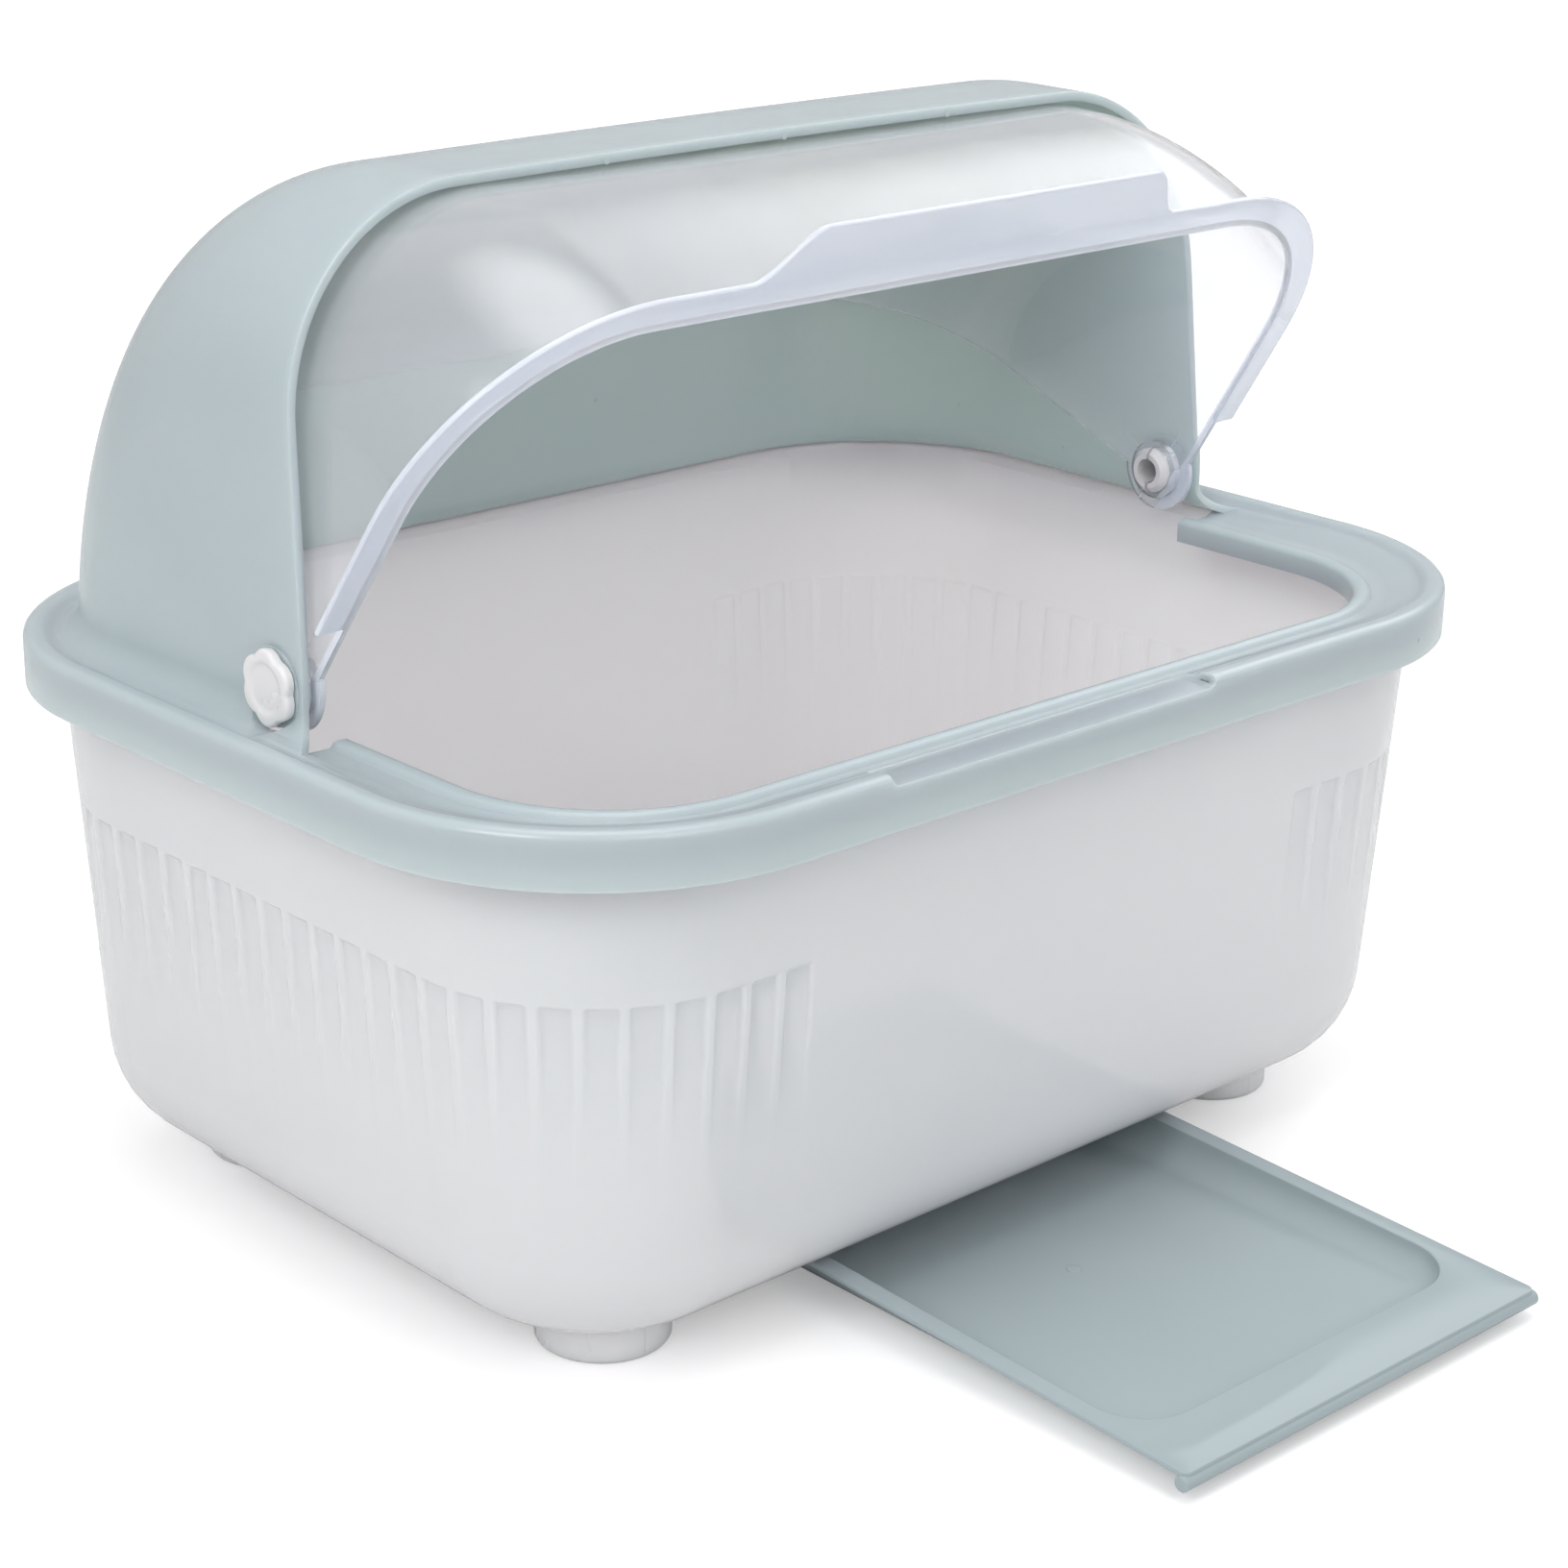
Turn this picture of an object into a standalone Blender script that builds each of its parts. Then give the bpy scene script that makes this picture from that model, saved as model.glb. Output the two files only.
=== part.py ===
"""Covered dish drainer: a white tub on four feet, a sage cover whose hood spans the rear half, a clear visor
hinged on two flower pins, a drip tray that slides out under the tub and a lift-out drain rack.

Metres, +Z up, front towards -Y. The drainer stands on z = 0 with the visor raised and the tray pulled out.
"""
import math

import bmesh
import bpy
from mathutils import Matrix, Vector

# Shared clearances
SEAT_GAP = 0.0003
OVERRUN = 0.004
PLAY = 0.0003

# Rim of the cover, measured inward from its outer outline
RIM_HALF_WIDTH = 0.225
RIM_HALF_DEPTH = 0.166
RIM_CORNER = 0.0894
RIM_CREST_Z = 0.1953
RIM_SKIRT = 0.0178
RIM_SKIRT_Z = RIM_CREST_Z - RIM_SKIRT
RIM_EDGE_RADIUS = 0.003
RIM_WALL = 0.0023
CREST_INNER = 0.0060
COVE_INNER = 0.0090
COVE_FALL = 0.0017
COVE_Z = RIM_CREST_Z - COVE_FALL
GROOVE_INNER = 0.0125
GROOVE_FALL = 0.002
GROOVE_Z = RIM_CREST_Z - GROOVE_FALL
WEB_UNDER_Z = GROOVE_Z - RIM_WALL
CREST_UNDER_Z = RIM_CREST_Z - RIM_WALL

# Lip round the front half
LIP_MARGIN_X = 0.0362
LIP_HALF_WIDTH = RIM_HALF_WIDTH - LIP_MARGIN_X
LIP_MARGIN_Y = 0.0291
LIP_HALF_DEPTH = RIM_HALF_DEPTH - LIP_MARGIN_Y
LIP_CORNER_TRIM = 0.0334
LIP_CORNER = RIM_CORNER - LIP_CORNER_TRIM
LIP_FALL = 0.0039
LIP_CREST_Z = RIM_CREST_Z - LIP_FALL
LIP_HEIGHT = 0.0084
LIP_BOTTOM_Z = LIP_CREST_Z - LIP_HEIGHT
LIP_WALL = 0.0019
LIP_FLOOR_Z = LIP_CREST_Z - LIP_WALL
LIP_STEP = 0.0003
LIP_STEP_Z = LIP_FLOOR_Z + LIP_STEP
LIP_ROUND = 0.0007
STEP_SHARE = 0.34
FLOOR_SHARE = 0.655
LIP_RISE_SHARE = 0.72
LIP_CREST_SHARE = 0.85
LIP_EDGE_SHARE = 0.97
LIP_END_Y = -0.026

# Finger notch in the front crest, left of the middle
NOTCH_LEFT = -0.097
NOTCH_RIGHT = 0.047
NOTCH_DEPTH = 0.0033
NOTCH_Z = RIM_CREST_Z - NOTCH_DEPTH
NOTCH_END_RADIUS = 0.0030
NOTCH_SILL = 0.0100

# Hood
HOOD_FOOT_Y = -0.0228
HOOD_BASE_RISE = 0.0167
HOOD_BASE_Z = RIM_CREST_Z + HOOD_BASE_RISE
HOOD_REFERENCE_RISE = 0.0047
HOOD_REFERENCE_Z = RIM_CREST_Z + HOOD_REFERENCE_RISE
HOOD_MARGIN = 0.0211
HOOD_HALF_WIDTH = RIM_HALF_WIDTH - HOOD_MARGIN
HOOD_CROWN = 0.0008
HOOD_WALL = 0.0024
HOOD_DRAFT = math.radians(2.0)
HOOD_LEAN = math.radians(4.8)
HOOD_FRONT_CORNER = 0.069
HOOD_REAR_CORNER = 0.064
HOOD_CURVE_Y = 0.017
HOOD_CURVE_FALL = 0.0039
HOOD_CURVE_Z = RIM_CREST_Z - HOOD_CURVE_FALL
HOOD_REAR_MARGIN = 0.019
HOOD_CURVE_DEPTH = RIM_HALF_DEPTH - HOOD_REAR_MARGIN - HOOD_CURVE_Y
HOOD_EDGE_SIDE = 0.0030
HOOD_EDGE_TOP = 0.0036
HOOD_EDGE_TURN = math.radians(1.3)
HOOD_STEP_TURN = math.radians(0.3)
FLARE_RISE = 0.0057
FLARE_TOP_Z = RIM_CREST_Z + FLARE_RISE
FLARE_HEM = 0.0120
FLARE_HEM_FALL = 0.0017
FLARE_HEM_Z = RIM_CREST_Z - FLARE_HEM_FALL
FLARE_ROOT = 0.0100
FLARE_ROOT_FALL = 0.0027
FLARE_ROOT_Z = RIM_CREST_Z - FLARE_ROOT_FALL
FLARE_ROOT_UNDER_FALL = 0.0037
FLARE_ROOT_UNDER_Z = RIM_CREST_Z - FLARE_ROOT_UNDER_FALL
FLARE_INNER_HEM = 0.0142
FLARE_INNER_FALL = 0.0041
FLARE_INNER_Z = RIM_CREST_Z - FLARE_INNER_FALL
FLARE_REACH = 0.0120

# Pivot of the visor
PIVOT_Y = -0.0085
PIVOT_RISE = 0.011
PIVOT_Z = RIM_CREST_Z + PIVOT_RISE
PIVOT_BORE = 0.00805
SEAT_PROUD = 0.0002
SEAT_FACE_X = HOOD_HALF_WIDTH + SEAT_PROUD
SEAT_RADIUS = 0.0133
SEAT_DEPTH = 0.0120
HOOD_BOSS_DEPTH = 0.0048
HOOD_BOSS_FACE_X = SEAT_FACE_X - HOOD_BOSS_DEPTH

# Visor, drawn shut about its pivot axis
VISOR_MARGIN = 0.0049
VISOR_HALF_WIDTH = HOOD_HALF_WIDTH - VISOR_MARGIN
VISOR_FRONT_MARGIN = 0.0239
VISOR_RADIUS = RIM_HALF_DEPTH - VISOR_FRONT_MARGIN
VISOR_TOP_GAP = 0.0018
HOOD_TOP_Z = PIVOT_Z + VISOR_RADIUS + VISOR_TOP_GAP + HOOD_WALL
VISOR_CORNER = 0.0685
VISOR_LEAN = math.radians(3.8)
VISOR_WALL = 0.0020
VISOR_EDGE_DROP = 0.0100
VISOR_EDGE_THICK = 0.0020
VISOR_EDGE_WIDTH = 0.0095
VISOR_EDGE_START = 0.0330
VISOR_SWEEP = math.radians(99.0)
VISOR_REAR_OFFSET = 0.0065
VISOR_EAR_RADIUS = 0.0155
VISOR_TAB = 0.0289
VISOR_TAB_REACH = VISOR_RADIUS + VISOR_TAB
VISOR_TAB_BASE = 0.0930
VISOR_TAB_FLAT = 0.0720
VISOR_BOSS_RADIUS = 0.0108
VISOR_BOSS_DEPTH = 0.0054
VISOR_BOSS_FACE_X = VISOR_HALF_WIDTH - VISOR_BOSS_DEPTH
VISOR_RAISED = math.radians(57.0)

# Flower pins
PIN_CAP_RADIUS = 0.0116
PIN_LOBE = 0.0008
PIN_CAP_THICK = 0.0032
PIN_CAP_ROUND = 0.0009
PIN_DISH_RADIUS = 0.0082
PIN_DISH = 0.0008
PIN_SHANK_RADIUS = 0.00775
PIN_BORE_RADIUS = 0.0046
PIN_BARB_RADIUS = 0.0084
PIN_BARB_LENGTH = 0.0022
PIN_TIP = 0.0012
PIN_SPLIT = 0.0014

# Tub
TUB_MARGIN_X = 0.0151
TUB_HALF_WIDTH = RIM_HALF_WIDTH - TUB_MARGIN_X
TUB_MARGIN_Y = 0.0142
TUB_HALF_DEPTH = RIM_HALF_DEPTH - TUB_MARGIN_Y
TUB_CORNER_TRIM = 0.0214
TUB_CORNER = RIM_CORNER - TUB_CORNER_TRIM
TUB_DRAFT = math.radians(3.65)
TUB_BOTTOM_Z = 0.0131
TUB_FILLET = 0.0374
TUB_WALL = 0.0023
TUB_WALL_TOP_FALL = 0.0087
TUB_WALL_TOP_Z = RIM_CREST_Z - TUB_WALL_TOP_FALL
TUB_NECK_FALL = 0.0107
TUB_NECK_Z = RIM_CREST_Z - TUB_NECK_FALL
TUB_RIM_TOP_FALL = 0.0048
TUB_RIM_TOP_Z = RIM_CREST_Z - TUB_RIM_TOP_FALL
TUB_RIM_UNDER_Z = TUB_RIM_TOP_Z - TUB_WALL
TUB_RIM_INNER = 0.0122
TUB_RIM_OUTER = 0.0046
TUB_RIM_HEM_FALL = 0.007
TUB_RIM_HEM_Z = TUB_RIM_TOP_Z - TUB_RIM_HEM_FALL
TUB_RIM_HEM = 0.0022
TUB_RIM_ROUND = 0.0010

# Flutes pressed into the tub's wall
FLUTE_FALL = 0.0603
FLUTE_TOP_Z = RIM_CREST_Z - FLUTE_FALL
FLUTE_LENGTH = 0.055
FLUTE_FADE_Z = FLUTE_TOP_Z - FLUTE_LENGTH
FLUTE_DEPTH = 0.0010
FLUTE_WIDTH = 0.0085
FLUTE_PITCH = 0.0135
FLUTE_MARGIN = 0.0969
FLUTE_PLAIN = TUB_HALF_WIDTH - FLUTE_MARGIN
RIB_HEIGHT = 0.0009

# Tray, its tunnel and rails; everything here falls towards the front
TRAY_FALL = math.atan(0.0398)
TRAY_PLANE_Z = 0.0210
TRAY_FRONT_Y = -0.280
TRAY_LENGTH = 0.226
TRAY_SHARE = 0.405
TRAY_HALF_WIDTH = TUB_HALF_WIDTH * TRAY_SHARE
TRAY_FLANGE = 0.0018
TRAY_CORNER = 0.003
TRAY_TOP_ROUND = 0.0006
TRAY_FLANGE_WIDTH = 0.0070
TRAY_RECESS_HALF = TRAY_HALF_WIDTH - TRAY_FLANGE_WIDTH
TRAY_RECESS_FRONT = 0.023
TRAY_RECESS_REAR = 0.006
TRAY_RECESS_CORNER = 0.020
TRAY_DEPTH = 0.0072
TRAY_WALL_RUN = 0.0090
TRAY_WALL = 0.0015
TRAY_BEAD_RADIUS = 0.0026
TRAY_BEAD_DROP = 0.0037
TRAY_SIDE_GAP = 0.0018
TUNNEL_HALF_WIDTH = TRAY_HALF_WIDTH + TRAY_SIDE_GAP
TUNNEL_HEAD = 0.0032
TUNNEL_REAR_MARGIN = 0.0518
TUNNEL_REAR_Y = TUB_HALF_DEPTH - TUNNEL_REAR_MARGIN
TUNNEL_WALL = 0.0023
RAIL_REACH = 0.0055
RAIL_ROOT = 0.0018
RAIL_THICK = 0.0020
RAIL_REAR_Y = TUNNEL_REAR_Y - RAIL_THICK
RAIL_FRONT_MARGIN = 0.0478
RAIL_FRONT_Y = RAIL_FRONT_MARGIN - TUB_HALF_DEPTH
DRAIN_SLOT_LENGTH = 0.030
DRAIN_SLOT_WIDTH = 0.005
DRAIN_SLOT_PITCH = 0.022
DRAIN_COLUMN_X = 0.034
DRAIN_MARGIN = 0.0638
DRAIN_FIRST_Y = DRAIN_MARGIN - TUB_HALF_DEPTH
DRAIN_ROWS = 8

# Feet
FOOT_MARGIN_X = 0.065
FOOT_X = TUB_HALF_WIDTH - FOOT_MARGIN_X
FOOT_MARGIN_Y = 0.0615
FOOT_Y = TUB_HALF_DEPTH - FOOT_MARGIN_Y
FOOT_RADIUS = 0.0218
FOOT_ROUND = 0.0015
PEG_RADIUS = 0.0070
PEG_GAP = 0.0006
FOOT_BORE_Z = 0.0062
PEG_BOTTOM_Z = FOOT_BORE_Z + PEG_GAP

# Drain rack
RACK_MARGIN_X = 0.0379
RACK_HALF_WIDTH = TUB_HALF_WIDTH - RACK_MARGIN_X
RACK_MARGIN_Y = 0.0358
RACK_HALF_DEPTH = TUB_HALF_DEPTH - RACK_MARGIN_Y
RACK_CORNER_TRIM = 0.023
RACK_CORNER = TUB_CORNER - RACK_CORNER_TRIM
RACK_Z = 0.0360
RACK_FRAME_WIDTH = 0.0075
RACK_FRAME_THICK = 0.0045
RACK_BAR_WIDTH = 0.0042
RACK_BAR_THICK = 0.0035
RACK_BARS = 11
RACK_BAR_SIDE = 0.032
RACK_BAR_PITCH = (RACK_HALF_WIDTH - RACK_BAR_SIDE) * 2 / (RACK_BARS - 1)
RACK_CROSS_Y = 0.042
RACK_PEG_Y = 0.060
RACK_LEG_IN_X = 0.04
RACK_LEG_X = RACK_HALF_WIDTH - RACK_LEG_IN_X
RACK_LEG_IN_Y = 0.032
RACK_LEG_Y = RACK_HALF_DEPTH - RACK_LEG_IN_Y
RACK_LEG_RADIUS = 0.0060
RACK_PEG_RADIUS = 0.0030
RACK_PEG_TIP_RADIUS = 0.0019
RACK_PEG_HEIGHT = 0.0180
RACK_PEG_ROOT = 0.0015

# Smoothness
CORNER_STEPS = 10
TRAY_CORNER_STEPS = 5
TRAY_WALL_STEPS = 4
ARCH_STEPS = 8
FAN_STEPS = 13
FILLET_STEPS = 5
FLARE_STEPS = 4
VISOR_STEPS = 48
PIN_STEPS = 30
ROUND_STEPS = 24
EAR_STEPS = 16
PEG_STEPS = 6

FOOT_NAMES = ("front_left", "front_right", "rear_left", "rear_right")
FOOT_PLACES = ((-FOOT_X, -FOOT_Y), (FOOT_X, -FOOT_Y), (-FOOT_X, FOOT_Y), (FOOT_X, FOOT_Y))
BLOCK_FACES = ((0, 1, 2, 3), (4, 5, 6, 7), (0, 1, 5, 4), (1, 2, 6, 5), (2, 3, 7, 6), (3, 0, 4, 7))

SKIN = {
    "tub_white": ((0.72, 0.71, 0.74, 1.0), 0.22),
    "sage": ((0.46, 0.56, 0.60, 1.0), 0.24),
    "clear": ((0.80, 0.86, 0.90, 1.0), 0.08),
    "pin_white": ((0.78, 0.78, 0.80, 1.0), 0.25),
    "rack_white": ((0.70, 0.70, 0.72, 1.0), 0.30),
}


def new_collection(name, hidden=False):
    """A collection under the scene; a hidden one holds cutters."""
    made = bpy.data.collections.new(name)
    made.hide_render = hidden
    bpy.context.scene.collection.children.link(made)
    return made


def material(name):
    """One plain finish, made when first asked for."""
    found = bpy.data.materials.get(name)
    if found:
        return found
    made = bpy.data.materials.new(name)
    made.use_nodes = True
    colour, gloss = SKIN[name]
    shader = made.node_tree.nodes["Principled BSDF"]
    shader.inputs["Base Color"].default_value = colour
    shader.inputs["Roughness"].default_value = gloss
    shader.inputs["Metallic"].default_value = 0
    made.diffuse_color = colour
    return made


def add_object(name, mesh, collection, finish=None, smooth=False):
    """Put a mesh in the scene under its own name."""
    made = bpy.data.objects.new(name, mesh)
    collection.objects.link(made)
    if finish:
        mesh.materials.append(material(finish))
    for face in mesh.polygons:
        face.use_smooth = smooth
    if collection.hide_render:
        made.hide_render = True
        made.display_type = "WIRE"
    return made


def mesh_from(name, points, faces):
    """A closed mesh with its doubled points joined and its faces turned outwards."""
    shape = bmesh.new()
    corners = [shape.verts.new(point) for point in points]
    for face in faces:
        shape.faces.new([corners[index] for index in face])
    bmesh.ops.remove_doubles(shape, verts=shape.verts, dist=RIM_WALL / 1000)
    bmesh.ops.dissolve_degenerate(shape, edges=shape.edges, dist=RIM_WALL / 1000)
    bmesh.ops.recalc_face_normals(shape, faces=shape.faces)
    mesh = bpy.data.meshes.new(name)
    shape.to_mesh(mesh)
    shape.free()
    return mesh


def loft(name, rings, endless=False):
    """Skin closed rings of equal count; the ends are capped unless the last ring joins the first."""
    count = len(rings[0])
    points = [point for ring in rings for point in ring]
    faces = []
    spans = len(rings) if endless else len(rings) - 1
    for row in range(spans):
        low = row * count
        high = (row + 1) % len(rings) * count
        for step in range(count):
            following = (step + 1) % count
            faces.append((low + step, low + following, high + following, high + step))
    if not endless:
        faces.append(tuple(range(count)))
        faces.append(tuple(range((len(rings) - 1) * count, len(rings) * count)))
    return mesh_from(name, points, faces)


def outline(half_x, half_y, radius, z, steps=CORNER_STEPS, middle_y=0.0):
    """A rounded rectangle at one height."""
    ring = []
    for quarter, (sign_x, sign_y) in enumerate(((1, 1), (-1, 1), (-1, -1), (1, -1))):
        for step in range(steps + 1):
            angle = math.pi / 2 * (quarter + step / steps)
            x = sign_x * (half_x - radius) + radius * math.cos(angle)
            y = sign_y * (half_y - radius) + radius * math.sin(angle)
            ring.append((x, middle_y + y, z))
    return ring


def block(name, low, high):
    """A box between two corners."""
    shape = bmesh.new()
    size = Vector(high) - Vector(low)
    middle = (Vector(high) + Vector(low)) / 2
    bmesh.ops.create_cube(shape, size=1, matrix=Matrix.Translation(middle) @ Matrix.Diagonal((*size, 1)))
    mesh = bpy.data.meshes.new(name)
    shape.to_mesh(mesh)
    shape.free()
    return add_object(name, mesh, cutters)


def rod(name, radius, start, end, steps=ROUND_STEPS, tip_radius=None):
    """A round bar or cone between two points."""
    shape = bmesh.new()
    span = Vector(end) - Vector(start)
    turn = Vector((0, 0, 1)).rotation_difference(span).to_matrix().to_4x4()
    place = Matrix.Translation((Vector(start) + Vector(end)) / 2) @ turn
    bmesh.ops.create_cone(
        shape,
        cap_ends=True,
        segments=steps,
        radius1=radius,
        radius2=radius if tip_radius is None else tip_radius,
        depth=span.length,
        matrix=place,
    )
    mesh = bpy.data.meshes.new(name)
    shape.to_mesh(mesh)
    shape.free()
    return add_object(name, mesh, cutters)


def combine(target, other, operation):
    """Cut with, join or keep what is common with another closed shape."""
    made = target.modifiers.new(other.name, "BOOLEAN")
    made.operation = operation
    made.solver = "EXACT"
    made.object = other
    return made


def sloped(y):
    """Height of the tray's top plane at y."""
    return TRAY_PLANE_Z + y * math.tan(TRAY_FALL)


def wedge(name, half_x, rear_y, front_y, bottom_z, lift):
    """A block whose top runs parallel to the tray, at this lift over the tray's top plane."""
    points = []
    for y in (front_y, rear_y):
        top = sloped(y) + lift
        points += [(-half_x, y, bottom_z), (half_x, y, bottom_z), (half_x, y, top), (-half_x, y, top)]
    return add_object(name, loft(name, (points[:4], points[4:])), cutters)


# Tub
def tub_ring(z, inset=0.0):
    """The wall's outline at one height, drawn in by the draft and by an inset."""
    taper = (RIM_SKIRT_Z - z) * math.tan(TUB_DRAFT) + inset
    return outline(TUB_HALF_WIDTH - taper, TUB_HALF_DEPTH - taper, TUB_CORNER - taper, z)


def tub_bowl(radius):
    """Rings of the rounded foot of the wall, from the flat bottom up, for one bend radius."""
    middle_z = TUB_BOTTOM_Z + TUB_FILLET
    middle = (RIM_SKIRT_Z - middle_z) * math.tan(TUB_DRAFT) + TUB_FILLET / math.cos(TUB_DRAFT)
    rings = []
    for step in range(FILLET_STEPS + 1):
        angle = math.pi / 2 + (TUB_DRAFT - math.pi / 2) * step / FILLET_STEPS
        inset = middle - radius * math.cos(angle)
        z = middle_z - radius * math.sin(angle)
        rings.append(outline(TUB_HALF_WIDTH - inset, TUB_HALF_DEPTH - inset, TUB_CORNER - inset, z))
    return rings


def rim_ring(inset, z):
    """An outline parallel to the outside of the cover's rim."""
    return outline(RIM_HALF_WIDTH - inset, RIM_HALF_DEPTH - inset, RIM_CORNER - inset, z)


def wall_stations():
    """Middle and outward direction of each flute, at the height of the flute tops."""
    taper = (RIM_SKIRT_Z - FLUTE_TOP_Z) * math.tan(TUB_DRAFT)
    half_x = TUB_HALF_WIDTH - taper
    half_y = TUB_HALF_DEPTH - taper
    corner = TUB_CORNER - taper
    start = FLUTE_PLAIN + FLUTE_WIDTH / 2
    front = half_x - corner - start
    bend = corner * math.pi / 2
    side = (half_y - corner) * 2
    whole = front * 2 + bend * 2 + side
    spans = round(whole / FLUTE_PITCH)
    stations = []
    for number in range(spans + 1):
        run = whole * number / spans
        if run < front:
            place, angle = (start + run, -half_y), -math.pi / 2
        elif run < front + bend:
            angle = -math.pi / 2 + (run - front) / corner
            place = (half_x - corner + corner * math.cos(angle), corner - half_y + corner * math.sin(angle))
        elif run < front + bend + side:
            place, angle = (half_x, corner - half_y + run - front - bend), 0.0
        elif run < front + bend * 2 + side:
            angle = (run - front - bend - side) / corner
            place = (half_x - corner + corner * math.cos(angle), half_y - corner + corner * math.sin(angle))
        else:
            place, angle = (half_x - corner - (run - front - bend * 2 - side), half_y), math.pi / 2
        stations.append((place, (math.cos(angle), math.sin(angle))))
        stations.append(((-place[0], place[1]), (-math.cos(angle), math.sin(angle))))
    return stations


def flute_blocks(name, top_z, near, far, foot_near, foot_far):
    """One tapered block per flute; near and far are depths into the wall at its top, then at its foot."""
    points = []
    faces = []
    fall = (FLUTE_TOP_Z - FLUTE_FADE_Z) * math.tan(TUB_DRAFT)
    for (x, y), (out_x, out_y) in wall_stations():
        first = len(points)
        for z, shallow, deep in ((FLUTE_FADE_Z, fall + foot_near, fall + foot_far), (top_z, near, far)):
            for depth, side in ((shallow, -1), (shallow, 1), (deep, 1), (deep, -1)):
                across = side * FLUTE_WIDTH / 2
                points.append((x - out_x * depth - out_y * across, y - out_y * depth + out_x * across, z))
        faces += [tuple(first + index for index in face) for face in BLOCK_FACES]
    return add_object(name, mesh_from(name, points, faces), cutters)


def make_rails():
    """Ledges in the tunnel's sides that carry the flange of the tray."""
    found = []
    under = -TRAY_FLANGE - SEAT_GAP
    for side in (-1, 1):
        inner = side * (TUNNEL_HALF_WIDTH - RAIL_REACH)
        outer = side * (TUNNEL_HALF_WIDTH + RAIL_ROOT)
        points = []
        for y in (RAIL_FRONT_Y, RAIL_REAR_Y):
            top = sloped(y) + under
            low = top - RAIL_THICK
            points.append(((inner, y, low), (outer, y, low), (outer, y, top), (inner, y, top)))
        name = f"rail_{side + 1}"
        found.append(add_object(name, loft(name, points), cutters))
    return found


def make_tub():
    rings = tub_bowl(TUB_FILLET)
    rings.append(tub_ring(TUB_NECK_Z))
    rings.append(rim_ring(TUB_RIM_INNER, TUB_RIM_UNDER_Z))
    rings.append(rim_ring(TUB_RIM_OUTER + TUB_RIM_HEM, TUB_RIM_UNDER_Z))
    rings.append(rim_ring(TUB_RIM_OUTER + TUB_RIM_HEM, TUB_RIM_HEM_Z))
    rings.append(rim_ring(TUB_RIM_OUTER, TUB_RIM_HEM_Z))
    rings.append(rim_ring(TUB_RIM_OUTER, TUB_RIM_TOP_Z - TUB_RIM_ROUND))
    rings.append(rim_ring(TUB_RIM_OUTER + TUB_RIM_ROUND, TUB_RIM_TOP_Z))
    rings.append(rim_ring(TUB_RIM_INNER, TUB_RIM_TOP_Z))
    rings.append(tub_ring(TUB_WALL_TOP_Z, TUB_WALL))
    rings += tub_bowl(TUB_FILLET - TUB_WALL)[::-1]
    tub = add_object("tub", loft("tub", rings), parts, "tub_white")

    deck_width = TUNNEL_HALF_WIDTH + TUNNEL_WALL
    deck_rear = TUNNEL_REAR_Y + TUNNEL_WALL
    floor_z = TUB_BOTTOM_Z + TUB_WALL / 2
    deck = wedge("deck", deck_width, deck_rear, -TUB_HALF_DEPTH, floor_z, TUNNEL_HEAD + TUNNEL_WALL)
    heart = tub_bowl(TUB_FILLET - TUB_WALL / 2)
    heart.append(tub_ring(FLUTE_FADE_Z, TUB_WALL / 2))
    combine(deck, add_object("deck_trim", loft("deck_trim", heart), cutters), "INTERSECT")
    combine(tub, deck, "UNION")
    root = TUB_WALL / 2
    ribs = flute_blocks("wall_ribs", FLUTE_TOP_Z, root, TUB_WALL + RIB_HEIGHT, root, TUB_WALL - PLAY)
    combine(tub, ribs, "UNION")
    mouth_y = -TUB_HALF_DEPTH - OVERRUN
    tunnel = wedge("tunnel", TUNNEL_HALF_WIDTH, TUNNEL_REAR_Y, mouth_y, PEG_BOTTOM_Z, TUNNEL_HEAD)
    combine(tub, tunnel, "DIFFERENCE")
    for rail in make_rails():
        combine(tub, rail, "UNION")
    for number, (x, y) in enumerate(FOOT_PLACES):
        combine(tub, rod(f"peg_{number}", PEG_RADIUS, (x, y, PEG_BOTTOM_Z), (x, y, floor_z)), "UNION")
    flutes = flute_blocks("wall_flutes", FLUTE_TOP_Z, -OVERRUN, FLUTE_DEPTH, -OVERRUN, -PLAY)
    combine(tub, flutes, "DIFFERENCE")
    for column in (-1, 1):
        for row in range(DRAIN_ROWS):
            middle_x = column * DRAIN_COLUMN_X
            middle_y = DRAIN_FIRST_Y + row * DRAIN_SLOT_PITCH
            low = (middle_x - DRAIN_SLOT_LENGTH / 2, middle_y - DRAIN_SLOT_WIDTH / 2, PEG_BOTTOM_Z)
            high = (middle_x + DRAIN_SLOT_LENGTH / 2, middle_y + DRAIN_SLOT_WIDTH / 2, TUB_BOTTOM_Z + TUB_FILLET)
            combine(tub, block(f"drain_{column + 1}_{row}", low, high), "DIFFERENCE")
    return tub


# Cover
def web_ring(share, z, outset=0.0):
    """An outline part of the way from the groove to the inner edge of the lip."""
    half_x = RIM_HALF_WIDTH - GROOVE_INNER
    half_y = RIM_HALF_DEPTH - GROOVE_INNER
    corner = RIM_CORNER - GROOVE_INNER
    return outline(
        half_x + (LIP_HALF_WIDTH - half_x) * share + outset,
        half_y + (LIP_HALF_DEPTH - half_y) * share + outset,
        corner + (LIP_CORNER - corner) * share + outset,
        z,
    )


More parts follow.
